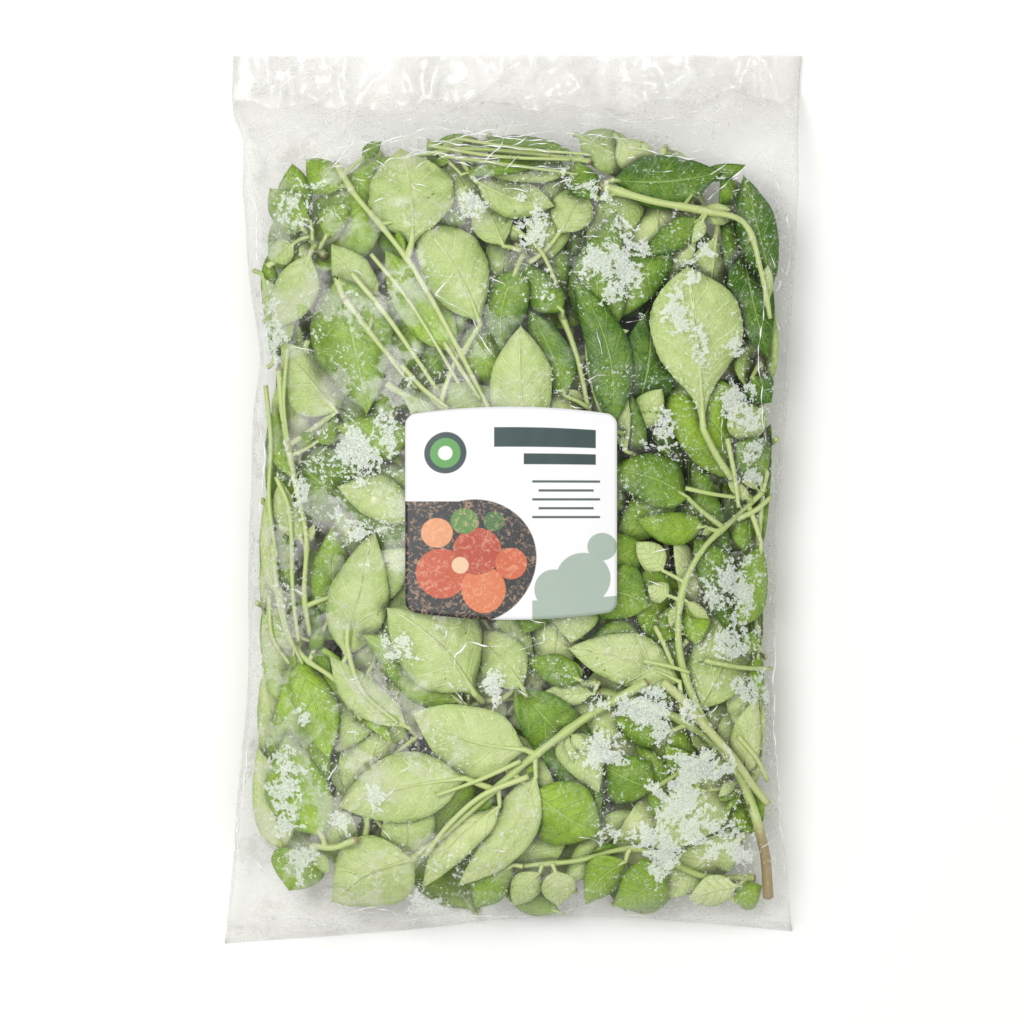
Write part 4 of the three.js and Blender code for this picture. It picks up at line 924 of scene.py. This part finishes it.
def filmMaterial():
    n = Nodes("bagFilm")
    place = n.place()
    frost, hollow, left, ridge, rim = (n.attribute(k) for k in ("frost", "hollow", "left", "ridge", "rim"))
    broad = n.noise(place, 22, 2, 0.5, 1.5)
    torn = n.noise(place, 68, 5, 0.7, 0.9)
    fine = n.noise(place, 430, 3, 0.72)
    # thin haze where the film stands off the leaves, none where it touches them
    touching = n.step(n.math("ADD", n.noise(place, 44, 3, 0.66), n.math("MULTIPLY", fine, 0.1)), 0.53, 0.57)
    veil = n.math("ADD", filmLook["veil"], n.math("MULTIPLY", left, filmLook["leftVeil"]))
    cloudy = n.noise(place, 36, 3, 0.66)
    veil = n.math("MULTIPLY", veil, n.math("ADD", 0.35, n.math("MULTIPLY", n.step(cloudy, 0.42, 0.6), 1.3)))
    veil = n.math("MULTIPLY", veil, n.math("SUBTRACT", 1.0, n.math("MULTIPLY", touching, 0.8)))
    veil = n.math("ADD", veil, filmLook["contact"])
    # dewy white patches with torn edges
    level = n.math("SUBTRACT", 0.735, n.math("MULTIPLY", frost, 0.3))
    white = n.step(n.math("SUBTRACT", n.math("ADD", torn, n.math("MULTIPLY", n.math("SUBTRACT", fine, 0.5), 0.62)), level),
                   0.0, 0.02)
    cloud = n.math("ADD", 0.3, n.math("MULTIPLY", n.noise(place, 900, 1, 0.7), 1.3))
    white = n.math("MULTIPLY", white, n.math("MULTIPLY", cloud, filmLook["frostAlpha"]), clamp=True)
    flecks = n.math("MULTIPLY", n.step(n.noise(place, 520, 2, 0.7), 0.6, 0.63), n.step(cloudy, 0.44, 0.58))
    white = n.math("MAXIMUM", white, n.math("MULTIPLY", flecks, filmLook["fleckAlpha"]))
    # painted highlight: soft white shine along the crumples
    shine = n.math("MULTIPLY", n.math("MULTIPLY", ridge, n.step(cloudy, 0.42, 0.66)), filmLook["ridgeAlpha"])
    alpha = n.math("MAXIMUM", n.math("MAXIMUM", veil, white), shine)
    empty = n.math("MULTIPLY", hollow, n.math("MULTIPLY", filmLook["hollowAlpha"], n.math("ADD", 0.3, n.math("MULTIPLY", broad, 1.4))))
    alpha = n.math("MAXIMUM", alpha, n.math("MAXIMUM", empty, n.math("MULTIPLY", rim, n.math("MULTIPLY", n.math("MULTIPLY", torn, 1.8), filmLook["rimAlpha"]))))
    n.plug(alpha, n.surface.inputs["Alpha"])
    # painted shade: a darker grey tint in the creases of the empty film
    creaseShadeMask = n.math("MULTIPLY", n.step(n.noise(place, 17, 2, 0.5, 2.5), 0.4, 0.6), hollow)
    tint = n.mix(n.math("MULTIPLY", creaseShadeMask, 0.8), filmLook["clear"], filmLook["paintedCreaseShade"])
    tint = n.mix(n.step(white, 0.05, 0.3), tint, filmLook["frost"])
    # painted highlight: the film is painted white where the shine mask is
    n.plug(n.mix(n.step(shine, 0.05, 0.5), tint, filmLook["shine"]), n.surface.inputs["Base Color"])
    n.plug(n.math("ADD", filmLook["roughness"], n.math("MULTIPLY", n.step(white, 0.05, 0.3), filmLook["frostRoughness"] - filmLook["roughness"])),
           n.surface.inputs["Roughness"])
    n.surface.inputs["Specular IOR Level"].default_value = 0.9
    n.bump(n.noise(place, 110, 1, 0.7), 0.4, 0.0012)
    return n.material


# the film itself
filmForm = {
    "alongCells": 330, "acrossCells": 190, "backCells": 46,
    "filledCrumple": 1.1, "emptyCrumple": 5.0, "edgeWaver": 1.2, "mouthWander": 20, "footWander": 11, "seal": 3,
    # dewy patches as (x, y, half width, half length, strength)
    "frost": [(-84, 24, 36, 18, 1.1), (-110, 8, 8, 10, 1.0), (-66, 44, 12, 11, 1.0), (-82, -14, 30, 15, 0.9),
              (-23, 153, 12, 13, 1.0), (14, 142, 18, 16, 1.15), (54, 123, 19, 26, 1.25), (80, 36, 11, 14, 1.1),
              (120, 50, 15, 20, 1.1), (125, 16, 9, 22, 1.0), (115, -44, 19, 22, 1.15), (115, -72, 19, 12, 1.1),
              (123, -98, 19, 12, 1.1), (48, -131, 17, 13, 1.25), (96, -140, 25, 14, 1.25), (86, -157, 18, 18, 1.3), (101, -171, 23, 16, 1.2),
              (80, -187, 14, 21, 1.15), (70, -176, 24, 9, 1.1), (119, -183, 13, 12, 1.05), (78, -122, 8, 12, 1.1),
              (67, -108, 26, 12, 1.2), (-47, -213, 18, 9, 1.0), (-126, 88, 9, 24, 1.0), (-58, -77, 11, 9, 1.15),
              (-118, -150, 13, 24, 1.15), (-113, -190, 14, 14, 1.15), (-110, -112, 7, 9, 1.05), (-72, -154, 7, 8, 1.05),
              (-89, -167, 9, 10, 1.0), (-10, -96, 7, 14, 1.1),
              (84, 98, 10, 20, 1.1), (116, 82, 8, 12, 1.0), (66, 130, 8, 9, 1.15), (94, 116, 6, 9, 1.1), (98, 82, 10, 12, 1.05), (-50, 60, 14, 14, 0.6), (-108, 150, 18, 20, 0.8),
              (-30, -190, 20, 14, 0.6), (-120, -60, 12, 30, 0.7), (10, 110, 14, 16, 0.7), (-120, -170, 16, 30, 0.8),
              (30, 165, 26, 12, 0.8), (100, 130, 22, 16, 0.7), (-100, 100, 16, 18, 0.7)],
    # long shiny folds, and fainter streaks, as lists of points; the film is raised along them, and the white beads and
    # shine along them are painted highlights
    "folds": [[(-27, 122), (-40, 107), (-23, 96), (-11, 75)], [(-30, -90), (-30, -80), (-23, -74), (-2, -77)],
              [(4, -62), (17, -64), (16, -74), (4, -77)], [(-33, -95), (-24, -107)],
              [(127, 180), (119, 172), (102, 157)], [(-140, 175), (-134, 150), (-135, 120)]],
    "streaks": [[(-138, 188), (-116, 195), (-96, 193)], [(-88, 178), (-58, 190), (-24, 203)],
                [(-62, 175), (-38, 187), (-10, 194), (22, 200)], [(-22, 186), (18, 193), (66, 189)],
                [(60, 184), (92, 178), (128, 184)], [(34, 204), (70, 198), (104, 206)],
                [(-48, 196), (-20, 214), (4, 232)], [(96, 196), (118, 212), (124, 230)],
                [(-118, 200), (-92, 222), (-88, 234)], [(-140, 219), (-104, 213)], [(20, 214), (52, 222), (80, 221)],
                [(-139, -120), (-141, -150), (-147, -190), (-151, -230)], [(-150, -228), (-120, -219), (-90, -226)],
                [(139, -60), (137, -110), (140, -160), (146, -215)], [(60, -219), (100, -222), (148, -226)],
                [(-76, 170), (-64, 178), (-40, 182)], [(-20, 170), (-6, 186), (2, 204)], [(-100, 168), (-84, 186), (-80, 204)],
                [(-136, 60), (-130, 20), (-134, -20)], [(134, 120), (128, 80), (132, 30)],
                [(-52, 190), (-30, 186), (0, 184), (25, 181)], [(-48, 196), (-20, 192), (10, 188), (36, 186)],
                [(-56, 184), (-30, 179), (-5, 178)], [(-20, 176), (10, 173), (30, 173)], [(-90, 188), (-70, 186), (-50, 190)],
                [(-110, 176), (-96, 183), (-80, 186)], [(-144, 224), (-136, 216), (-130, 222), (-126, 214)],
                [(-66, 216), (-60, 208), (-54, 212)], [(40, 212), (36, 222), (44, 230)], [(74, 216), (90, 224), (96, 218)],
                [(-140, -100), (-146, -160), (-144, -200)], [(-60, -222), (-30, -218), (10, -220)]],
}


# painted highlights: short white glints where the empty film is creased, in places given as (left, right, from, to, how
# many, slant)
glintForm = {"seed": 31, "least": 3, "most": 13,
             "places": [(-140, 150, 176, 232, 120, 0.5), (-134, 120, 160, 186, 40, 0.4), (-150, 145, -232, -214, 40, 0.3),
                        (-146, -134, -200, 170, 26, 1.5), (134, 146, -200, 170, 26, 1.5), (-120, 110, -190, 160, 60, 0.8)]}


def glintLines():
    rng = np.random.default_rng(glintForm["seed"])
    lines = []
    for left, right, low, high, count, slant in glintForm["places"]:
        for _ in range(count):
            x, y = rng.uniform(left, right), rng.uniform(low, high)
            length, turn = rng.uniform(glintForm["least"], glintForm["most"]), rng.normal(0, slant)
            dx, dy = length * math.cos(turn) / 2, length * math.sin(turn) / 2
            bend = rng.uniform(-0.2, 0.2)
            foot = float(smoothThrough(bagShape["foot"], x)) + 2
            fold = [(x - dx, y - dy), (x - bend * dy, y + bend * dx), (x + dx, y + dy)]
            if min(q for _, q in fold) > foot and max(q for _, q in fold) < bagShape["mouthY"] - 1 \
                    and max(abs(float(acrossAt(p, q))) for p, q in fold) < 0.98:
                lines.append(fold)
    return lines


def distanceTo(lines, x, y):
    best = np.full(x.shape, 99.0)
    for fold in filmForm[lines]:
        for (ax, ay), (bx, by) in zip(fold[:-1], fold[1:]):
            dx, dy = bx - ax, by - ay
            t = np.clip(((x - ax) * dx + (y - ay) * dy) / (dx * dx + dy * dy), 0, 1)
            best = np.minimum(best, np.hypot(x - ax - t * dx, y - ay - t * dy))
    return best


def emptiness(y):
    return np.clip(1 - fullness(y) * 1.6, 0, 1)


def ridges(x, y, size, seed):
    # sharp crests; the empty film is gathered into folds that run lengthwise
    bent = x + 5 * noiseField(x, y, 24, seed + 9)
    return 1 - np.abs(noiseField(bent, y * (1 - 0.55 * emptiness(y)), size, seed)) * 2


def filmHeight(x, y, share):
    crumple = 0.5 * ridges(x, y, 34, 3) + 0.3 * ridges(x, y, 15, 4) + 0.16 * ridges(x, y, 7, 5) + 0.5 * noiseField(x, y, 60, 6)
    amount = filmForm["filledCrumple"] + (filmForm["emptyCrumple"] - filmForm["filledCrumple"]) * emptiness(y)
    foldMark = np.exp(-(distanceTo("folds", x, y) / 2.2) ** 2) + np.exp(-(distanceTo("streaks", x, y) / 3) ** 2)
    fade = np.clip((1 - np.abs(share)) * 9, 0, 1)
    away = y - bagShape["fillCentreY"]
    inFromFoot = y - smoothThrough(bagShape["foot"], x)
    uneven = 0.5 + 0.4 * noiseField(x, 0 * x, 31, 21) + 0.3 * noiseField(x, y, 19, 22)
    wander = np.where(away > 0, filmForm["mouthWander"], filmForm["footWander"] * np.clip(inFromFoot / 12, 0, 1))
    sag = wander * uneven * np.clip((np.abs(away) - 150) / 40, 0, 1)
    top = np.maximum(filmTop(share, y - np.sign(away) * sag) + (crumple * amount + foldMark * 1.2) * fade, 3)
    mouthLift = np.clip((y - 200 - 14 * uneven) / 22, 0, 1) * (2.5 + 2.5 * np.sin(x / 17.0 + 1.2) * np.cos(x / 41.0))
    top = top + mouthLift * fade
    return 0.5 + (top - 0.5) * np.clip(inFromFoot / filmForm["seal"], 0, 1)


def makePaintedShineLines(lines, widest, alpha):
    # painted highlights: thin white beads along the crests of the film's folds
    rng = np.random.default_rng(len(lines))
    traced = []
    for fold in filmForm[lines] if lines in filmForm else glintLines():
        pts = np.array(fold, float)
        spans = np.concatenate([[0], np.cumsum(np.hypot(*np.diff(pts, axis=0).T))])
        t = np.linspace(0, spans[-1], max(int(spans[-1] / 0.8), 8))
        seed = int(rng.integers(1000))
        x = np.interp(t, spans, pts[:, 0]) + 1.1 * noiseField(t, 0 * t, 9, seed)
        y = np.interp(t, spans, pts[:, 1]) + 1.1 * noiseField(t, 0 * t, 9, seed + 1)
        ends = np.sin(math.pi * np.clip(t / spans[-1], 0.02, 0.98)) ** 0.4
        radii = widest * ends * np.clip(0.45 + 0.9 * noiseField(t, 0 * t, 5, seed + 2), 0.12, 1)
        traced.append((x, y, radii))
    x, y = (np.concatenate([line[k] for line in traced]) for k in (0, 1))
    path = np.stack([x, y, filmHeight(x, y, acrossAt(x, y)) + 0.05], axis=1)
    piece = Piece()
    first = 0
    for _, _, radii in traced:
        addTube(piece, path[first:first + len(radii)], radii, 0, 0.5, sides=6, flat=0.5)
        first += len(radii)
    n = Nodes(lines + "Shine")
    n.surface.inputs["Base Color"].default_value = filmLook["shine"]
    n.surface.inputs["Roughness"].default_value = filmLook["roughness"]
    n.surface.inputs["Alpha"].default_value = alpha
    beads = makeObject("film" + lines.capitalize(), piece, [n.material])


def makeFilm(material):
    rows, cols = filmForm["alongCells"], filmForm["acrossCells"]
    along = np.linspace(0, 1, rows)[:, None]
    even = np.linspace(-1, 1, cols)[None, :]
    share = 0.6 * np.sin(even * math.pi / 2) + 0.4 * even
    share, along = np.broadcast_arrays(share, along)
    level = bagShape["footY"] + (bagShape["mouthY"] - bagShape["footY"]) * along
    x = smoothThrough(bagShape["leftSide"], level) * (1 - share) / 2 + smoothThrough(bagShape["rightSide"], level) * (1 + share) / 2
    x = x - np.sign(share) * np.abs(share) ** 10 * filmForm["edgeWaver"] * (0.5 + 0.5 * noiseField(0 * x + np.sign(share) * 9, level, 23, 14))
    foot = smoothThrough(bagShape["foot"], x)
    y = foot + (bagShape["mouthY"] - foot) * along
    top = filmHeight(x, y, share)
    empty = emptiness(y)

    backShare = np.linspace(1, -1, filmForm["backCells"])[None, 1:-1]
    backShare, backAlong = np.broadcast_arrays(0.5 * np.sin(backShare * math.pi / 2) + 0.5 * backShare, along[:, :1])
    levelB = bagShape["footY"] + (bagShape["mouthY"] - bagShape["footY"]) * backAlong
    xb = smoothThrough(bagShape["leftSide"], levelB) * (1 - backShare) / 2 + smoothThrough(bagShape["rightSide"], levelB) * (1 + backShare) / 2
    footB = smoothThrough(bagShape["foot"], xb)
    yb = footB + (bagShape["mouthY"] - footB) * backAlong
    back = filmBack(backShare, yb) + 0.15

    px, py, pz = np.hstack([x, xb]), np.hstack([y, yb]), np.hstack([top, back])
    ring = px.shape[1]
    verts = np.stack([px, py, pz], axis=-1).reshape(-1, 3)
    piece = Piece()
    faces = gridFaces(rows, ring, wrap=True)
    piece.add(verts, faces, 0, np.stack([px.ravel() / 300 + 0.5, py.ravel() / 450 + 0.5], axis=-1), 0.5, np.zeros(len(verts)))
    film = makeObject("bagFilm", piece, [material])

    frost = np.zeros(px.shape)
    for fx, fy, hw, hl, strength in filmForm["frost"]:
        frost = np.maximum(frost, strength * np.exp(-((px - fx) / hw) ** 2 - ((py - fy) / hl) ** 2))
    facing = np.hstack([np.ones(x.shape), np.zeros(xb.shape)])
    sharp = lambda size, seed, low: np.clip((ridges(x, y, size, seed) - low) / (1 - low), 0, 1)
    # painted highlight mask: the sharpest crumple crests and the streaks, where the film is painted shiny
    crests = np.maximum(sharp(15, 4, 0.7), 0.8 * sharp(34, 3, 0.78)) ** 1.5
    crests = np.maximum(crests * (0.35 + 0.65 * empty), 0.4 * np.exp(-(distanceTo("streaks", x, y) / 1.8) ** 2))
    onFace = lambda values: np.hstack([values, np.zeros(xb.shape)])
    rim = np.exp(-((1 - np.abs(share)) / 0.01) ** 2) + np.exp(-((y - foot) / 2.2) ** 2) + np.exp(-((bagShape["mouthY"] - y) / 1.8) ** 2)
    fields = {"frost": frost * facing, "ridge": onFace(crests), "rim": onFace(np.clip(rim, 0, 1)),
              "hollow": np.clip(1 - fullness(py) * 1.5, 0, 1) * facing + (1 - facing) * 0.3,
              "left": np.clip(0.5 - px / 160, 0, 1)}
    for key, values in fields.items():
        layer = film.data.attributes.new(key, "FLOAT", "POINT")
        layer.data.foreach_set("value", values.reshape(-1).astype(np.float32))
    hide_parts("bag_film")
    return film


# the label
labelForm = {"x": -1, "y": -7, "width": 110, "side": 102, "bow": 4.3, "corner": 5, "thickness": 0.3, "lift": 1.9,
             "cells": 60}


def labelMaterial():
    n = Nodes("printedLabel")
    uv = n.node("ShaderNodeUVMap", uv_map="UVMap").outputs[0]
    split = n.node("ShaderNodeSeparateXYZ")
    n.plug(uv, split.inputs[0])
    x, y = split.outputs[0], split.outputs[1]  # 0 to 1 across the label and up it

    def disc(cx, cy, r, wide=1.0):
        dx = n.math("DIVIDE", n.math("SUBTRACT", x, cx), wide)
        dy = n.math("SUBTRACT", y, cy)
        away = n.math("SQRT", n.math("ADD", n.math("MULTIPLY", dx, dx), n.math("MULTIPLY", dy, dy)))
        return n.math("SUBTRACT", 1.0, n.step(away, r - 0.003, r + 0.003))

    def bar(cx, cy, hw, hh):
        dx = n.math("SUBTRACT", n.math("ABSOLUTE", n.math("SUBTRACT", x, cx)), hw)
        dy = n.math("SUBTRACT", n.math("ABSOLUTE", n.math("SUBTRACT", y, cy)), hh)
        return n.math("SUBTRACT", 1.0, n.step(n.math("MAXIMUM", dx, dy), -0.002, 0.002))

    colour = n.mix(n.math("MULTIPLY", n.noise(n.place(), 400, 3), 0.06), srgb(232, 232, 232), srgb(212, 214, 212))
    panel = n.math("MAXIMUM", disc(0.33, 0.28, 0.29), bar(0.17, 0.28, 0.17, 0.28))
    layers = [
        (disc(0.84, 0.17, 0.13), srgb(158, 174, 160)), (disc(0.7, 0.13, 0.09), srgb(158, 174, 160)),
        (disc(0.93, 0.33, 0.07), srgb(158, 174, 160)), (bar(0.8, 0.04, 0.2, 0.04), srgb(158, 174, 160)),
        (panel, srgb(26, 30, 32)),
        (disc(0.17, 0.2, 0.12), srgb(186, 78, 42)), (disc(0.37, 0.13, 0.105), srgb(206, 112, 66)),
        (disc(0.34, 0.31, 0.115), srgb(172, 62, 36)), (disc(0.15, 0.4, 0.075), srgb(214, 146, 98)),
        (disc(0.5, 0.25, 0.075), srgb(196, 92, 52)), (disc(0.28, 0.46, 0.065), srgb(78, 128, 52)),
        (disc(0.42, 0.46, 0.05), srgb(52, 104, 46)), (disc(0.26, 0.24, 0.04), srgb(222, 186, 150)),
        (bar(0.66, 0.87, 0.24, 0.044), srgb(24, 56, 54)), (bar(0.73, 0.77, 0.17, 0.026), srgb(24, 56, 54)),
        (disc(0.19, 0.8, 0.1), srgb(24, 56, 54)), (disc(0.19, 0.8, 0.072), srgb(84, 150, 70)),
        (disc(0.19, 0.8, 0.034), srgb(228, 228, 228)),
    ]
    for k in range(5):
        layers.append((bar(0.76, 0.66 - 0.045 * k, 0.16 - 0.03 * (k % 2), 0.006), srgb(70, 82, 80)))
    for mask, ink in layers:
        colour = n.mix(mask, colour, ink)
    fleck = n.math("MULTIPLY", n.step(n.noise(n.place(), 260, 5, 0.7, 1.5), 0.5, 0.62), n.math("MULTIPLY", panel, 0.35))
    colour = n.mix(fleck, colour, srgb(236, 190, 150))
    n.plug(colour, n.surface.inputs["Base Color"])
    n.surface.inputs["Roughness"].default_value = 0.42
    n.bump(n.noise(n.place(), 260, 4), 0.12, 0.0004)
    return n.material


def makeLabel(material):
    form = labelForm
    cells = form["cells"]
    u, v = np.meshgrid(np.linspace(-1, 1, cells), np.linspace(-1, 1, cells))
    half, high, corner = form["width"] / 2, form["side"] / 2, form["corner"]
    # squeeze the square grid into rounded corners and bowed upper and lower edges
    x, y = u * half, v * high
    y = y + np.sign(v) * np.abs(v) ** 3 * form["bow"] * (1 - u * u)
    cx, cy = np.clip(np.abs(x) - (half - corner), 0, None), np.clip(np.abs(v) * high - (high - corner), 0, None)
    over = np.maximum(cx, cy)
    reach = np.hypot(cx, cy)
    shrink = np.where(reach > 1e-6, over / np.maximum(reach, 1e-6), 1)
    x = np.sign(x) * (np.minimum(np.abs(x), half - corner) + cx * shrink)
    y = y - np.sign(v) * (cy - cy * shrink)
    x, y = x + form["x"], y + form["y"]
    z = filmTop(acrossAt(x, y), y) + form["lift"] + 0.25 * noiseField(x, y, 26, 8) + 0.1 * noiseField(x, y, 9, 10)
    n = cells * cells
    top = np.stack([x, y, z], axis=-1).reshape(-1, 3)
    bottom = top - np.array([0, 0, form["thickness"]])
    faces = gridFaces(cells, cells)
    rim = np.concatenate([np.arange(cells), np.arange(1, cells) * cells + cells - 1,
                          (n - cells + np.arange(cells - 1))[::-1], (np.arange(1, cells - 1) * cells)[::-1]])
    after = np.roll(rim, -1)
    uv = np.stack([(u + 1) / 2, (v + 1) / 2], axis=-1).reshape(-1, 2)
    piece = Piece()
    piece.add(np.vstack([top, bottom]), np.vstack([faces, faces[:, ::-1] + n, np.stack([rim, rim + n, after + n, after], axis=1)]),
              0, np.vstack([uv, uv]), 0.5, np.zeros(2 * n))
    label = makeObject("faceLabel", piece, [material])
    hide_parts("label")
    return label


# everything in its place
startPile()
stems = faceStems + packedStems(backStems) + packedStems(innerStems)
laid = [("looseStalks1", layStalks(), None)]
for k, stem in enumerate(stems):
    if stem["node"] == "inner_shoot_1":
        for band, piece in enumerate(fillGaps("above", fillLeaves["tries"], fillLeaves["seed"])):
            laid.append((f"gapLeaves{band + 1}", piece, None))
    words = stem["node"].split("_")
    laid.append((words[0] + "".join(w.capitalize() for w in words[1:]) + "Leaves", layStem(stem, 100 + k), stem["node"]))
for band, piece in enumerate(fillGaps("below", fillLeaves["backTries"], fillLeaves["seed"] + 1)):
    laid.append((f"backGapLeaves{band + 1}", piece, None))
print("pieces laid:", len(laid))

measureDepths()
blade, stalk = leafMaterial(), stemMaterial()
objects = []
for name, piece, node in laid:
    obj = makeObject(name, piece, [blade, stalk])
    if node:
        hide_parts(node)
    objects.append(obj)

film = makeFilm(filmMaterial())
makePaintedShineLines("folds", 0.62, 0.9)
makePaintedShineLines("streaks", 0.46, 0.85)
makePaintedShineLines("glints", 0.34, 0.9)
label = makeLabel(labelMaterial())
print("film and label made; faces:", sum(len(o.data.polygons) for o in objects) + len(film.data.polygons))

# floor, light and camera
studio = {"floor": srgb(250, 250, 247), "distance": 3.0, "pictureWidth": 0.5427, "pictureLevel": 0.012, "middle": (-0.0005, -0.0064),
          "world": 0.5, "keyPower": 11.5, "keySize": 0.7, "keyAt": (-0.45, 0.3, 1.45),
          "topPower": 11.5, "topSize": 1.8}


def makeStudio():
    scene = bpy.context.scene
    scene.view_settings.view_transform = "Standard"
    floorMesh = bpy.data.meshes.new("studioFloor")
    floorMesh.from_pydata([(-3, -3, -0.0005), (3, -3, -0.0005), (3, 3, -0.0005), (-3, 3, -0.0005)], [], [(0, 1, 2, 3)])
    floor = bpy.data.objects.new("studioFloor", floorMesh)
    scene.collection.objects.link(floor)
    n = Nodes("studioPaper")
    n.plug(n.mix(n.math("MULTIPLY", n.noise(n.place(), 3, 2), 0.1), studio["floor"], srgb(244, 244, 240)),
           n.surface.inputs["Base Color"])
    n.surface.inputs["Roughness"].default_value = 0.9
    floorMesh.materials.append(n.material)
    floor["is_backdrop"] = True

    world = bpy.data.worlds.new("studioWorld")
    scene.world = world
    world.use_nodes = True
    world.node_tree.nodes["Background"].inputs[0].default_value = (1, 1, 1, 1)
    world.node_tree.nodes["Background"].inputs[1].default_value = studio["world"]

    for name, power, size, at in (("keyLight", studio["keyPower"], studio["keySize"], studio["keyAt"]),
                                  ("topLight", studio["topPower"], studio["topSize"], (0.1, -0.35, 1.9))):
        light = bpy.data.lights.new(name, "AREA")
        light.energy, light.size = power, size
        lamp = bpy.data.objects.new(name, light)
        lamp.location = at
        lamp.rotation_euler = (Vector((0, 0, 0.03)) - Vector(at)).to_track_quat("-Z", "Y").to_euler()
        scene.collection.objects.link(lamp)

    camera = bpy.data.cameras.new("photoCamera")
    camera.sensor_width = 36
    camera.lens = 36 * (studio["distance"] - studio["pictureLevel"]) / studio["pictureWidth"]
    eye = bpy.data.objects.new("photoCamera", camera)
    eye.location = (*studio["middle"], studio["distance"])
    scene.collection.objects.link(eye)
    scene.camera = eye


makeStudio()
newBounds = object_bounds()
asList = lambda box: [[float(c) for c in corner] for corner in box]
{"cad": asList(cadBounds), "visual": asList(newBounds)}
print("size", asList(cadBounds), asList(newBounds))
